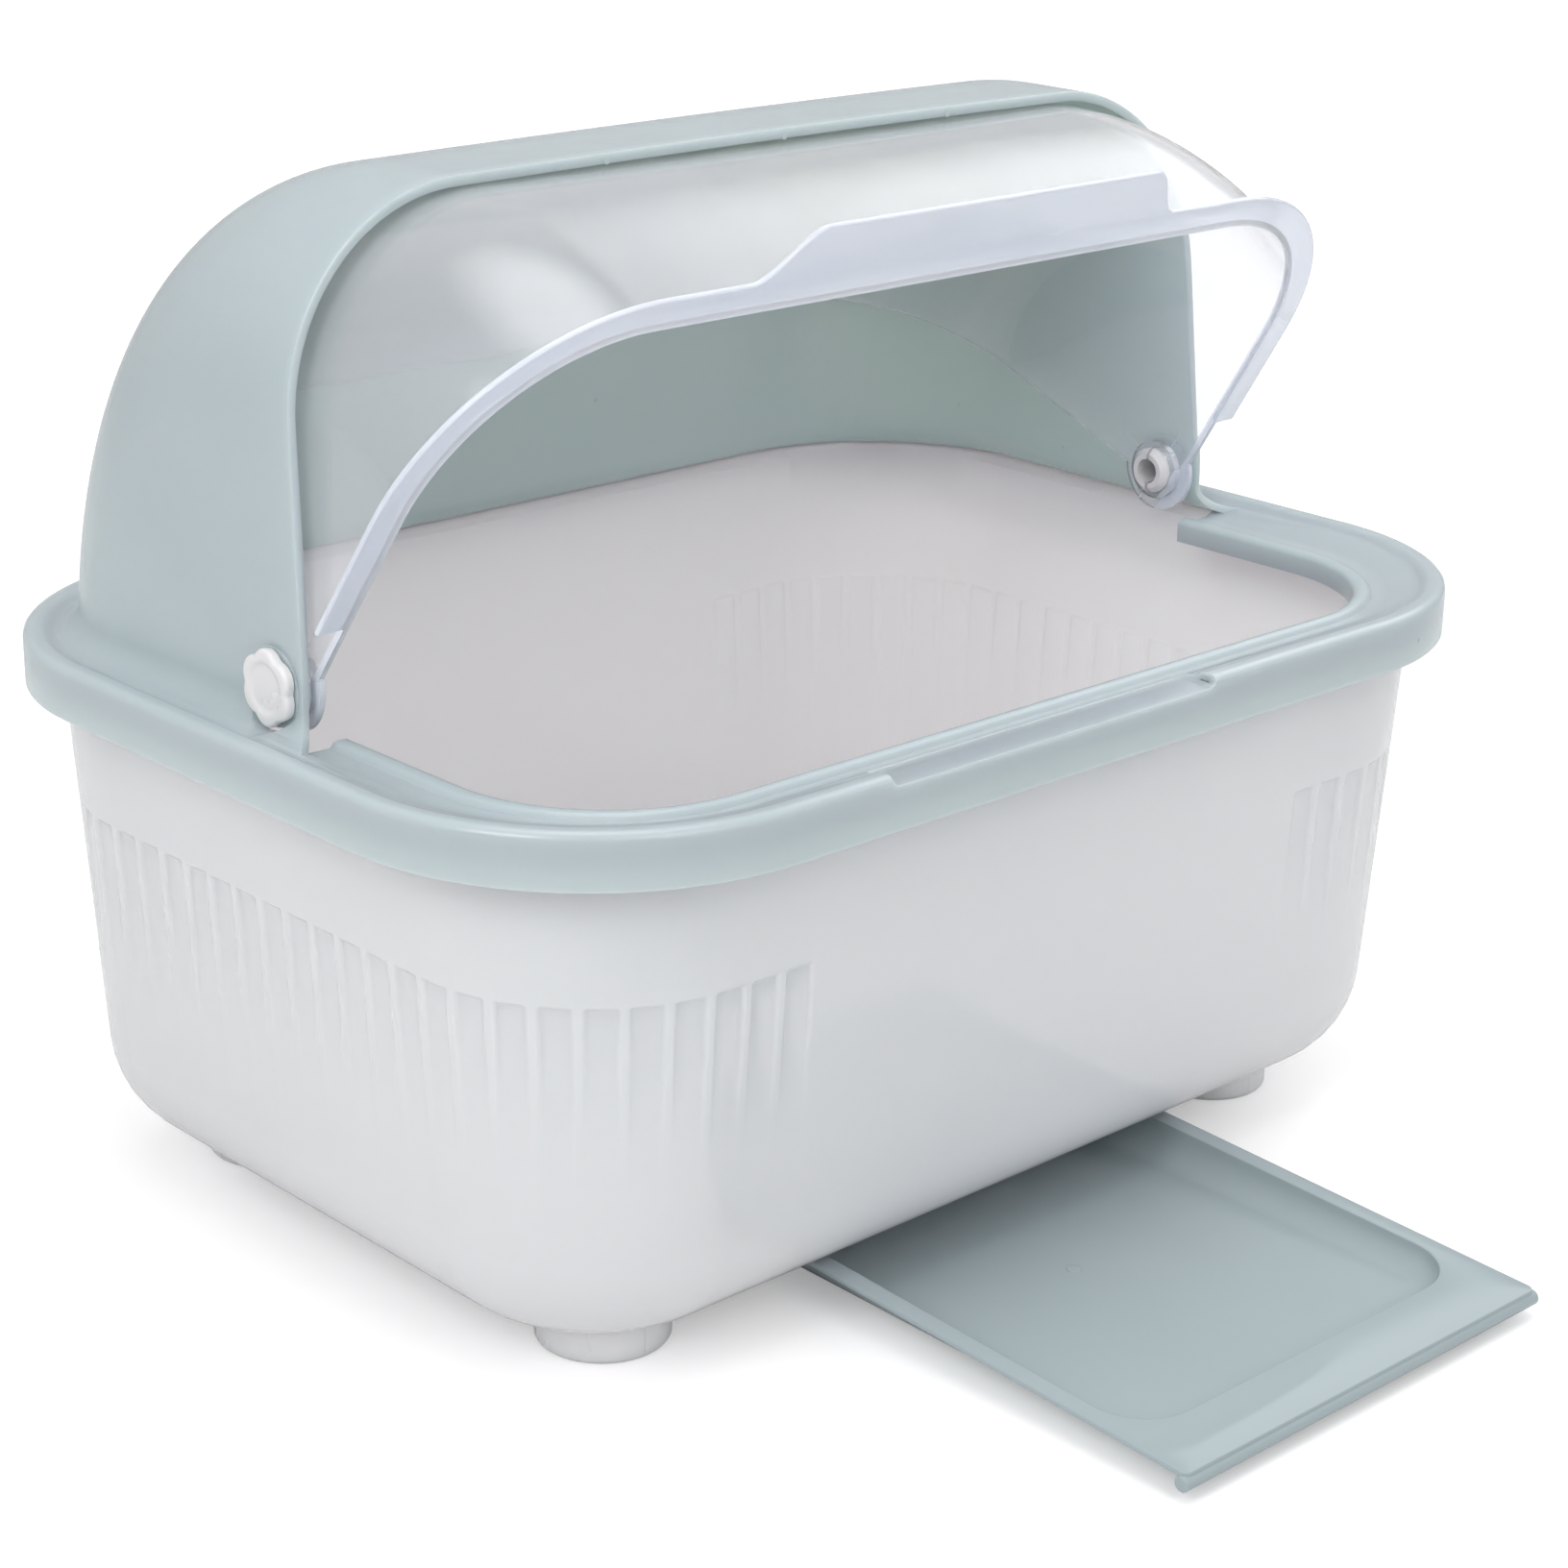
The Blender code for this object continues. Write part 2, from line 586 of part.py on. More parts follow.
def rim_rings():
    """The rim's section, from the skirt over the crest and the groove to the lip, and back underneath."""
    bend = RIM_EDGE_RADIUS * math.sqrt(2) / 2
    return (
        rim_ring(0, RIM_SKIRT_Z),
        rim_ring(0, RIM_CREST_Z - RIM_EDGE_RADIUS),
        rim_ring(RIM_EDGE_RADIUS - bend, RIM_CREST_Z - RIM_EDGE_RADIUS + bend),
        rim_ring(RIM_EDGE_RADIUS, RIM_CREST_Z),
        rim_ring(CREST_INNER, RIM_CREST_Z),
        rim_ring(COVE_INNER, COVE_Z),
        rim_ring(GROOVE_INNER, GROOVE_Z),
        web_ring(STEP_SHARE, LIP_STEP_Z),
        web_ring(FLOOR_SHARE, LIP_FLOOR_Z),
        web_ring(LIP_RISE_SHARE, LIP_CREST_Z - LIP_ROUND),
        web_ring(LIP_CREST_SHARE, LIP_CREST_Z),
        web_ring(LIP_EDGE_SHARE, LIP_CREST_Z - LIP_ROUND),
        web_ring(1, LIP_BOTTOM_Z),
        web_ring(1, LIP_BOTTOM_Z, LIP_WALL),
        web_ring(1, LIP_FLOOR_Z - LIP_ROUND, LIP_WALL),
        web_ring(FLOOR_SHARE, LIP_FLOOR_Z - LIP_WALL, LIP_ROUND),
        web_ring(STEP_SHARE, LIP_STEP_Z - LIP_WALL, LIP_ROUND),
        rim_ring(GROOVE_INNER - LIP_ROUND, WEB_UNDER_Z),
        rim_ring(COVE_INNER, WEB_UNDER_Z),
        rim_ring(CREST_INNER, CREST_UNDER_Z),
        rim_ring(RIM_WALL + LIP_ROUND, CREST_UNDER_Z),
        rim_ring(RIM_WALL, CREST_UNDER_Z - LIP_ROUND),
        rim_ring(RIM_WALL, RIM_SKIRT_Z),
    )


def bow(half, reach, corner, slope, crown=0.0):
    """A flat-topped arch from one foot to the other, as (across, along) pairs."""
    lean = math.atan(slope)
    middle = reach - corner
    centre = half - middle * slope - corner / math.cos(lean)
    side = [(half, 0.0), (half - middle * slope / 2, middle / 2)]
    for step in range(ARCH_STEPS + 1):
        angle = lean + (math.pi / 2 - lean) * step / ARCH_STEPS
        side.append((centre + corner * math.cos(angle), middle + corner * math.sin(angle)))
    side.append((centre / 2, reach + crown * 3 / 4))
    return side + [(0.0, reach + crown)] + [(-across, along) for across, along in reversed(side)]


def hood_reach(angle, inset):
    """Distance from the foot line to the roof or the rear curve, along one plane of the fan."""
    along, up = math.cos(angle), math.sin(angle)
    top = HOOD_TOP_Z - inset
    if up > 0:
        reach = (top - HOOD_BASE_Z) / up
        if HOOD_FOOT_Y + reach * along <= HOOD_CURVE_Y:
            return reach
    depth = HOOD_CURVE_DEPTH - inset
    height = top - HOOD_CURVE_Z
    start_y = (HOOD_FOOT_Y - HOOD_CURVE_Y) / depth
    start_z = (HOOD_BASE_Z - HOOD_CURVE_Z) / height
    along, up = along / depth, up / height
    square = along * along + up * up
    half = start_y * along + start_z * up
    rest = start_y * start_y + start_z * start_z - 1
    return (math.sqrt(half * half - square * rest) - half) / square


def fan_row(turn, inset, top_inset=None):
    """One arch of the hood, in a plane turned up from the rear about the foot line."""
    top_inset = inset if top_inset is None else top_inset
    share = turn / (math.pi / 2 - HOOD_LEAN)
    corner = HOOD_REAR_CORNER + (HOOD_FRONT_CORNER - HOOD_REAR_CORNER) * share - top_inset
    half = HOOD_HALF_WIDTH - (HOOD_BASE_Z - HOOD_REFERENCE_Z) * math.tan(HOOD_DRAFT)
    slope = math.sin(turn) * math.tan(HOOD_DRAFT)
    pairs = bow(half - inset, hood_reach(turn, top_inset), corner, slope, HOOD_CROWN * share)
    foot = half - HOOD_WALL if inset else half
    pairs[0] = (foot, 0.0)
    pairs[-1] = (-foot, 0.0)
    row = []
    for across, along in pairs:
        row.append((across, HOOD_FOOT_Y + along * math.cos(turn), HOOD_BASE_Z + along * math.sin(turn)))
    return row


def foot_row(share, z, inset, hem):
    """One level arch of the hood's foot; share 0 is the wall and 1 the hem on the rim."""
    depth = HOOD_CURVE_DEPTH - inset
    height = HOOD_TOP_Z - inset - HOOD_CURVE_Z
    rise = (FLARE_TOP_Z - HOOD_CURVE_Z) / height
    half = HOOD_HALF_WIDTH - (FLARE_TOP_Z - HOOD_REFERENCE_Z) * math.tan(HOOD_DRAFT) - inset
    rear = HOOD_CURVE_Y + depth * math.sqrt(1 - rise * rise)
    corner = HOOD_REAR_CORNER - inset
    half += (RIM_HALF_WIDTH - hem - half) * share
    rear += (RIM_HALF_DEPTH - hem - rear) * share
    corner += (RIM_CORNER - hem - corner) * share
    front = HOOD_FOOT_Y - FLARE_REACH * share
    return [(across, front + along, z) for across, along in bow(half, rear - front, corner, 0)]


def hood_mesh():
    """The hood as one skin: up the outside from the rim, over the front edge and down the inside."""
    front = math.pi / 2 - HOOD_LEAN
    outer = [foot_row(1, FLARE_ROOT_Z, 0, FLARE_ROOT)]
    inner = [foot_row(1, FLARE_ROOT_UNDER_Z, HOOD_WALL, FLARE_ROOT)]
    for step in range(FLARE_STEPS + 1):
        angle = math.pi / 2 * (1 - step / FLARE_STEPS)
        share = 1 - math.cos(angle)
        z = FLARE_TOP_Z + (FLARE_HEM_Z - FLARE_TOP_Z) * math.sin(angle)
        outer.append(foot_row(share, z, 0, FLARE_HEM))
        z = FLARE_TOP_Z + (FLARE_INNER_Z - FLARE_TOP_Z) * math.sin(angle)
        inner.append(foot_row(share, z, HOOD_WALL, FLARE_INNER_HEM))
    lower = len(outer) + 1
    for step in range(FAN_STEPS + 1):
        turn = front * step / FAN_STEPS
        outer.append(fan_row(turn, 0))
        if step < FAN_STEPS:
            inner.append(fan_row(turn, HOOD_WALL))
    inner.append(fan_row(front - HOOD_EDGE_TURN - HOOD_STEP_TURN, HOOD_WALL))
    inner.append(fan_row(front - HOOD_EDGE_TURN, HOOD_EDGE_SIDE, HOOD_EDGE_TOP))
    inner.append(fan_row(front, HOOD_EDGE_SIDE, HOOD_EDGE_TOP))
    rows = outer + inner[::-1]
    count = len(rows[0])
    faces = []
    for row in range(len(rows)):
        low = row * count
        high = (row + 1) % len(rows) * count
        for step in range(count - 1):
            faces.append((low + step, low + step + 1, high + step + 1, high + step))
    last = len(rows) - 1
    for row in range(lower - 1):
        for end in (0, count - 1):
            near, above = row * count + end, (row + 1) * count + end
            facing, facing_above = (last - row) * count + end, (last - row - 1) * count + end
            faces.append((near, above, facing_above, facing))
    return mesh_from("hood", [point for row in rows for point in row], faces)


def make_cover():
    cover = add_object("cover", loft("cover", rim_rings(), endless=True), parts, "sage")
    edge = RIM_HALF_WIDTH - GROOVE_INNER - LIP_ROUND
    rear = [point for point in rim_ring(GROOVE_INNER + LIP_ROUND, 0) if point[1] > 0]
    plan = [(edge, LIP_END_Y)] + [point[:2] for point in rear] + [(-edge, LIP_END_Y)]
    rings = [[(x, y, z) for x, y in plan] for z in (RIM_SKIRT_Z, RIM_CREST_Z + OVERRUN)]
    combine(cover, add_object("rear_opening", loft("rear_opening", rings), cutters), "DIFFERENCE")

    low = (NOTCH_LEFT, -RIM_HALF_DEPTH + RIM_WALL / 2, WEB_UNDER_Z - LIP_ROUND / 2)
    high = (NOTCH_RIGHT, -RIM_HALF_DEPTH + NOTCH_SILL, GROOVE_Z - LIP_ROUND)
    combine(cover, block("notch_sill", low, high), "UNION")
    rings = []
    for y in (-RIM_HALF_DEPTH - OVERRUN, -RIM_HALF_DEPTH + NOTCH_SILL + OVERRUN):
        ring = [(NOTCH_RIGHT, y, RIM_CREST_Z + OVERRUN), (NOTCH_LEFT, y, RIM_CREST_Z + OVERRUN)]
        for side, end in ((-1, NOTCH_LEFT), (1, NOTCH_RIGHT)):
            bend = []
            for step in range(EAR_STEPS // 4 + 1):
                angle = math.pi / 2 * step / (EAR_STEPS // 4)
                x = end + side * NOTCH_END_RADIUS * (math.cos(angle) - 1)
                bend.append((x, y, NOTCH_Z + NOTCH_END_RADIUS * (1 - math.sin(angle))))
            ring += bend if side < 0 else bend[::-1]
        rings.append(ring)
    combine(cover, add_object("notch", loft("notch", rings), cutters), "DIFFERENCE")
    combine(cover, add_object("hood", hood_mesh(), cutters), "UNION")
    for side, word in ((-1, "left"), (1, "right")):
        centre = (PIVOT_Y, PIVOT_Z)
        face = (side * HOOD_BOSS_FACE_X, *centre)
        back = (side * (SEAT_FACE_X + LIP_ROUND), *centre)
        combine(cover, rod(f"seat_boss_{word}", SEAT_RADIUS - PLAY * 2, face, back), "UNION")
        seat = (side * SEAT_FACE_X, *centre)
        outside = (side * (SEAT_FACE_X + SEAT_DEPTH), *centre)
        combine(cover, rod(f"seat_{word}", SEAT_RADIUS, seat, outside), "DIFFERENCE")
        inside = (side * (VISOR_BOSS_FACE_X - OVERRUN), *centre)
        combine(cover, rod(f"cover_bore_{word}", PIVOT_BORE, inside, outside), "DIFFERENCE")
    return cover


# Visor
def visor_profile(inset):
    """Half section of the visor, as (across, radius) pairs from the axis to the middle of the roof."""
    slope = math.tan(VISOR_LEAN)
    middle = VISOR_RADIUS - VISOR_CORNER
    centre = VISOR_HALF_WIDTH - middle * slope - VISOR_CORNER / math.cos(VISOR_LEAN)
    corner = VISOR_CORNER - inset
    start = VISOR_HALF_WIDTH - inset / math.cos(VISOR_LEAN)
    pairs = [(start, 0.0)]
    for step in range(ARCH_STEPS + 1):
        angle = VISOR_LEAN + (math.pi / 2 - VISOR_LEAN) * step / ARCH_STEPS
        pairs.append((centre + corner * math.cos(angle), middle + corner * math.sin(angle)))
    return pairs


def barrel(name, inset):
    """The visor's full surface of revolution about the pivot axis, closed at both ends."""
    half = visor_profile(inset)
    pairs = half + [(-across, radius) for across, radius in reversed(half)]
    shape = bmesh.new()
    corners = [shape.verts.new((radius, 0, across)) for across, radius in pairs]
    for first, second in zip(corners, corners[1:]):
        shape.edges.new((first, second))
    mesh = bpy.data.meshes.new(name)
    shape.to_mesh(mesh)
    shape.free()
    made = add_object(name, mesh, cutters)
    screw = made.modifiers.new("turn", "SCREW")
    screw.steps = VISOR_STEPS
    screw.render_steps = VISOR_STEPS
    screw.use_merge_vertices = True
    screw.merge_threshold = RIM_WALL / 1000
    made.rotation_euler = (0, math.pi / 2, 0)
    made.parent = visor_axis
    return made


def visor_sector():
    """Side view of the shut visor, as (ahead, up) pairs: straight free edge, ear, straight rear edge."""
    reach = VISOR_TAB_REACH
    points = [(reach, -VISOR_EDGE_DROP)]
    first = math.asin(-VISOR_EDGE_DROP / VISOR_EAR_RADIUS)
    across = math.asin(VISOR_REAR_OFFSET / VISOR_EAR_RADIUS)
    last = -2 * math.pi + VISOR_SWEEP + across
    for step in range(EAR_STEPS + 1):
        angle = first + (last - first) * step / EAR_STEPS
        points.append((VISOR_EAR_RADIUS * math.cos(angle), VISOR_EAR_RADIUS * math.sin(angle)))
    ahead, up = math.cos(VISOR_SWEEP), math.sin(VISOR_SWEEP)
    points.append((reach * ahead - VISOR_REAR_OFFSET * up, reach * up + VISOR_REAR_OFFSET * ahead))
    points.append((reach, reach))
    return points


def visor_edge_plan():
    """Plan of the flange round the free edge with its finger tab, as (across, ahead) pairs."""
    drop = VISOR_EDGE_DROP
    outer = visor_profile(-VISOR_EDGE_WIDTH)
    foot_radius = math.hypot(VISOR_EDGE_START, drop)
    start = outer[0][0] - foot_radius * math.tan(VISOR_LEAN)
    side = [(start, VISOR_EDGE_START)]
    side += [(across, math.sqrt(radius * radius - drop * drop)) for across, radius in outer[1:]]
    front = side[-1][1]
    for step in range(EAR_STEPS // 2 + 1):
        share = step / (EAR_STEPS // 2)
        blend = (1 - math.cos(math.pi * share)) / 2
        across = VISOR_TAB_BASE + (VISOR_TAB_FLAT - VISOR_TAB_BASE) * share
        side.append((across, front + (VISOR_TAB_REACH - front) * blend))
    return side + [(-across, ahead) for across, ahead in reversed(side)]


def make_visor():
    half = VISOR_HALF_WIDTH + OVERRUN
    rings = [[(x, -ahead, up) for ahead, up in visor_sector()] for x in (-half, half)]
    visor = add_object("visor", loft("visor", rings), parts, "clear")
    visor.parent = visor_axis
    combine(visor, barrel("visor_outside", 0), "INTERSECT")
    low = -VISOR_EDGE_DROP
    rings = [[(x, -ahead, z) for x, ahead in visor_edge_plan()] for z in (low, low + VISOR_EDGE_THICK)]
    plate = add_object("visor_flange", loft("visor_flange", rings), cutters)
    plate.parent = visor_axis
    combine(visor, plate, "UNION")
    combine(visor, barrel("visor_inside", VISOR_WALL), "DIFFERENCE")
    for side, word in ((-1, "left"), (1, "right")):
        root = VISOR_HALF_WIDTH - VISOR_WALL * 4 / 5
        boss = rod(f"visor_boss_{word}", VISOR_BOSS_RADIUS, (side * VISOR_BOSS_FACE_X, 0, 0), (side * root, 0, 0))
        boss.parent = visor_axis
        combine(visor, boss, "UNION")
        start = (side * (VISOR_BOSS_FACE_X - OVERRUN), 0, 0)
        bore = rod(f"visor_bore_{word}", PIVOT_BORE, start, (side * half, 0, 0))
        bore.parent = visor_axis
        combine(visor, bore, "DIFFERENCE")
    return visor


# Flower pins
def round_ring(radius, z, lobe=0.0, steps=PIN_STEPS):
    """A circle, or a six-lobed flower, at one height."""
    ring = []
    for step in range(steps):
        angle = 2 * math.pi * step / steps
        reach = radius + lobe * math.cos(6 * angle)
        ring.append((reach * math.cos(angle), reach * math.sin(angle), z))
    return ring


def make_pin(word, side):
    """A flower cap outside the hood, on a hollow split shank with a snap end inside the visor."""
    grip = SEAT_FACE_X + SEAT_GAP - VISOR_BOSS_FACE_X + SEAT_GAP
    end = grip + PIN_BARB_LENGTH + PIN_TIP
    cap = PIN_CAP_THICK - PIN_CAP_ROUND
    rings = (
        round_ring(PIN_BORE_RADIUS, 0),
        round_ring(PIN_BORE_RADIUS, -end),
        round_ring(PIN_SHANK_RADIUS - PIN_TIP, -end),
        round_ring(PIN_BARB_RADIUS, PIN_BARB_LENGTH - end),
        round_ring(PIN_BARB_RADIUS, -grip),
        round_ring(PIN_SHANK_RADIUS, -grip),
        round_ring(PIN_SHANK_RADIUS, 0),
        round_ring(PIN_CAP_RADIUS, 0, PIN_LOBE),
        round_ring(PIN_CAP_RADIUS, cap, PIN_LOBE),
        round_ring(PIN_CAP_RADIUS - PIN_CAP_ROUND, PIN_CAP_THICK, PIN_LOBE),
        round_ring(PIN_DISH_RADIUS, PIN_CAP_THICK - PIN_DISH),
    )
    name = f"pivot_pin_{word}"
    pin = add_object(name, loft(name, rings), parts, "pin_white")
    pin.location = (side * (SEAT_FACE_X + SEAT_GAP), PIVOT_Y, PIVOT_Z)
    pin.rotation_euler = (0, side * math.pi / 2, 0)
    pin.parent = frame
    wide = PIN_BARB_RADIUS + OVERRUN
    low = (-wide, -PIN_SPLIT / 2, -end - OVERRUN)
    split = block(f"pin_split_{word}", low, (wide, PIN_SPLIT / 2, -PIN_SPLIT * 2))
    split.location = pin.location
    split.rotation_euler = pin.rotation_euler
    split.parent = frame
    combine(pin, split, "DIFFERENCE")
    return pin


# Drip tray
def tray_ring(inset, z):
    """An outline of the tray's outside, in its own level plane with the front edge at 0."""
    middle = TRAY_LENGTH / 2
    corner = TRAY_CORNER - inset
    return outline(TRAY_HALF_WIDTH - inset, middle - inset, corner, z, TRAY_CORNER_STEPS, middle)


def recess_ring(inset, z):
    """An outline of the tray's recess, drawn in by an inset."""
    front = TRAY_RECESS_FRONT + inset
    rear = TRAY_LENGTH - TRAY_RECESS_REAR - inset
    middle = (rear + front) / 2
    corner = TRAY_RECESS_CORNER - inset
    return outline(TRAY_RECESS_HALF - inset, rear - middle, corner, z, TRAY_CORNER_STEPS, middle)


def pan_ring(step, wall):
    """One ring of the pan's concave side, or of its outer skin one wall away; the pan's floor stays level."""
    angle = math.pi / 2 * step / TRAY_WALL_STEPS
    inset = TRAY_WALL_RUN * (1 - math.cos(angle)) - wall * math.cos(angle)
    ring = []
    for x, y, _ in recess_ring(inset, 0):
        depth = TRAY_DEPTH + (y - TRAY_RECESS_FRONT) * math.tan(TRAY_FALL)
        ring.append((x, y, -(depth + wall) * math.sin(angle)))
    return ring


def make_tray():
    rings = [pan_ring(step, TRAY_WALL) for step in range(TRAY_WALL_STEPS, 0, -1)]
    rings.append(recess_ring(-TRAY_WALL, -TRAY_FLANGE))
    rings.append(tray_ring(0, -TRAY_FLANGE))
    rings.append(tray_ring(0, -TRAY_TOP_ROUND))
    rings.append(tray_ring(TRAY_TOP_ROUND, 0))
    rings += [pan_ring(step, 0) for step in range(TRAY_WALL_STEPS + 1)]
    tray = add_object("drip_tray", loft("drip_tray", rings), parts, "sage")
    place = (TRAY_BEAD_RADIUS / 2, -TRAY_BEAD_DROP)
    length = TRAY_HALF_WIDTH + TRAY_TOP_ROUND
    bead = rod("tray_bead", TRAY_BEAD_RADIUS, (-length, *place), (length, *place), steps=ROUND_STEPS // 2)
    bead.parent = tray
    combine(tray, bead, "UNION")
    tray.location = (0, TRAY_FRONT_Y, sloped(TRAY_FRONT_Y))
    tray.rotation_euler = (TRAY_FALL, 0, 0)
    tray.parent = frame
    return tray


# Feet
def make_foot(name, x, y):
    """A round foot whose blind bore pushes up over a peg under the tub."""
    top = TUB_BOTTOM_Z - SEAT_GAP
    rings = (
        round_ring(FOOT_RADIUS - FOOT_ROUND, 0, steps=ROUND_STEPS),
        round_ring(FOOT_RADIUS, FOOT_ROUND, steps=ROUND_STEPS),
        round_ring(FOOT_RADIUS, top, steps=ROUND_STEPS),
        round_ring(PEG_RADIUS + PLAY, top, steps=ROUND_STEPS),
        round_ring(PEG_RADIUS + PLAY, FOOT_BORE_Z, steps=ROUND_STEPS),
    )
    foot = add_object(name, loft(name, rings), parts, "tub_white")
    foot.location = (x, y, 0)
    foot.parent = frame
    return foot


# Drain rack
def make_rack():
    top = RACK_Z + RACK_FRAME_THICK
    inner = RACK_FRAME_WIDTH
    sections = ((0, RACK_Z), (0, top), (inner, top), (inner, RACK_Z))
    rings = []
    for inset, z in sections:
        ring = outline(RACK_HALF_WIDTH - inset, RACK_HALF_DEPTH - inset, RACK_CORNER - inset, z, TRAY_CORNER_STEPS)
        rings.append(ring)
    rack = add_object("drain_rack", loft("drain_rack", rings, endless=True), parts, "rack_white")
    bar_top = RACK_Z + RACK_BAR_THICK
    half = RACK_BAR_WIDTH / 2
    for number in range(RACK_BARS):
        x = (number - (RACK_BARS - 1) / 2) * RACK_BAR_PITCH
        past = RACK_HALF_WIDTH - RACK_CORNER
        reach = RACK_HALF_DEPTH - inner / 2
        if abs(x) > past:
            bend = RACK_CORNER - inner / 2
            reach -= bend - math.sqrt(bend * bend - (abs(x) - past) ** 2)
        low = (x - half, -reach, RACK_Z + PLAY)
        combine(rack, block(f"rack_bar_{number}", low, (x + half, reach, bar_top)), "UNION")
    for side, word in ((-1, "front"), (1, "rear")):
        reach = RACK_HALF_WIDTH - inner / 2
        y = side * RACK_CROSS_Y
        low = (-reach, y - half, RACK_Z + PLAY * 2)
        combine(rack, block(f"rack_cross_{word}", low, (reach, y + half, bar_top - PLAY)), "UNION")
        for number in range(1, RACK_BARS - 1):
            x = (number - (RACK_BARS - 1) / 2) * RACK_BAR_PITCH
            foot = (x, side * RACK_PEG_Y, bar_top - RACK_PEG_ROOT)
            tip = (x, side * RACK_PEG_Y, bar_top + RACK_PEG_HEIGHT)
            name = f"rack_peg_{word}_{number}"
            peg = rod(name, RACK_PEG_RADIUS, foot, tip, steps=PEG_STEPS, tip_radius=RACK_PEG_TIP_RADIUS)
            combine(rack, peg, "UNION")
        for x in (-RACK_LEG_X, RACK_LEG_X):
            foot = (x, side * RACK_LEG_Y, TUB_BOTTOM_Z + TUB_WALL + SEAT_GAP)
            leg = rod(f"rack_leg_{word}_{x > 0}", RACK_LEG_RADIUS, foot, (foot[0], foot[1], bar_top), steps=EAR_STEPS)
            combine(rack, leg, "UNION")
    return rack


def centre_under(objects):
    """Move the whole drainer so that the middle of its base is the origin."""
    bpy.context.view_layer.update()
    graph = bpy.context.evaluated_depsgraph_get()
    ends = []
    for piece in objects:
        shape = piece.evaluated_get(graph)
        ends += [(piece.matrix_world @ Vector(corner)).y for corner in shape.bound_box]
    frame.location.y = -(min(ends) + max(ends)) / 2


for old in list(bpy.data.objects):
    bpy.data.objects.remove(old, do_unlink=True)
parts = new_collection("covered_dish_drainer")
cutters = new_collection("cutters", hidden=True)
frame = bpy.data.objects.new("frame", None)
parts.objects.link(frame)
visor_axis = bpy.data.objects.new("visor_axis", None)
parts.objects.link(visor_axis)
visor_axis.location = (0, PIVOT_Y, PIVOT_Z)
visor_axis.rotation_euler = (-VISOR_RAISED, 0, 0)

tub = make_tub()
cover = make_cover()
visor = make_visor()
pins = [make_pin(word, side) for side, word in ((-1, "left"), (1, "right"))]
tray = make_tray()
feet = [make_foot(f"foot_{name}", x, y) for name, (x, y) in zip(FOOT_NAMES, FOOT_PLACES)]
rack = make_rack()
for piece in list(cutters.objects) + [tub, cover, rack, visor_axis]:
    if piece.parent is None:
        piece.parent = frame
centre_under([tub, cover, visor, tray, rack] + pins + feet)
print(f"shift {frame.location.y * 1000:.4f} mm")
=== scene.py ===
# %% [markdown]
# # A covered dish drainer
# The real drainer is a handful of big glossy injection mouldings: a white tub on four feet, a sage cover
# that caps the tub's rim and rises into a hood, a clear visor that turns on two white flower pins, a drip
# tray that slides out underneath, and a rack inside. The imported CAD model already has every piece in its
# right place and carries the joints, but its corners are coarse. This lesson loads that model as a fixed
# frame and then makes a finer skin for each moulding from the same handful of sizes, so each skin sits
# exactly where its CAD piece is.

import math

import bmesh
import bpy
from mathutils import Matrix, Vector


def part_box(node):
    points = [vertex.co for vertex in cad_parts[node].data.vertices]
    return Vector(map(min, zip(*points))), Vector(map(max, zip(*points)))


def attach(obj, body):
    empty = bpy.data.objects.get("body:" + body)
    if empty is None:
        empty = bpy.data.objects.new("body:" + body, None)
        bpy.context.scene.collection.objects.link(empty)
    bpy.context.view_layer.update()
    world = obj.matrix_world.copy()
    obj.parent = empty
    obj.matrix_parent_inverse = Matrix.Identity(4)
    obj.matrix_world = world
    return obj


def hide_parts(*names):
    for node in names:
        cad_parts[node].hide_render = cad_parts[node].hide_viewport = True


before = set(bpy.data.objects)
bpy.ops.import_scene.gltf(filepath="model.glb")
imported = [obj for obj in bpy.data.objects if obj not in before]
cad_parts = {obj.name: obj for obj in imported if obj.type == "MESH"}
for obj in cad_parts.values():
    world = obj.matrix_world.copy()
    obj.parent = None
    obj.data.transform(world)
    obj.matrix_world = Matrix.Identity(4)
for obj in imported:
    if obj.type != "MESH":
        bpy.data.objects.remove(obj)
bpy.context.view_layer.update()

# %% [markdown]
# The tub's sizes are drawn about the tub's own middle, while the frame is centred under the whole drainer
# with its tray pulled out. The difference is one number along Y, and the tub's box gives it.

# %% Where the tub's middle is
tub_low, tub_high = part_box("tub")
MIDDLE_Y = (tub_low.y + tub_high.y) / 2
print("tub middle at y =", round(MIDDLE_Y * 1000, 3), "mm")

# %% [markdown]
# ## Small tools of the trade
# Objects in the making are kept in one list. `settle` bakes an object's modifiers into a plain mesh, and
# shades it smooth except where two faces meet at a clear angle, so that a moulded edge stays crisp and a
# curve soft.

# %% Making and settling objects
workshop = []


def in_scene(name, data):
    made = bpy.data.objects.new(name, data)
    bpy.context.scene.collection.objects.link(made)
    return made


def raw(name, shape):
    """An object in the making from a finished shape."""
    mesh = bpy.data.meshes.new(name)
    shape.to_mesh(mesh)
    shape.free()
    made = in_scene(name, mesh)
    workshop.append(made)
    return made


def modify(target, kind, **settings):
    step = target.modifiers.new(kind, kind)
    for name, setting in settings.items():
        setattr(step, name, setting)


def join_or_cut(target, other, operation):
    modify(target, "BOOLEAN", operation=operation, solver="EXACT", object=other)


def round_edges(target, width, segments=3, angle=30):
    limit = math.radians(angle)
    modify(target, "BEVEL", width=width, segments=segments, limit_method="ANGLE", angle_limit=limit)


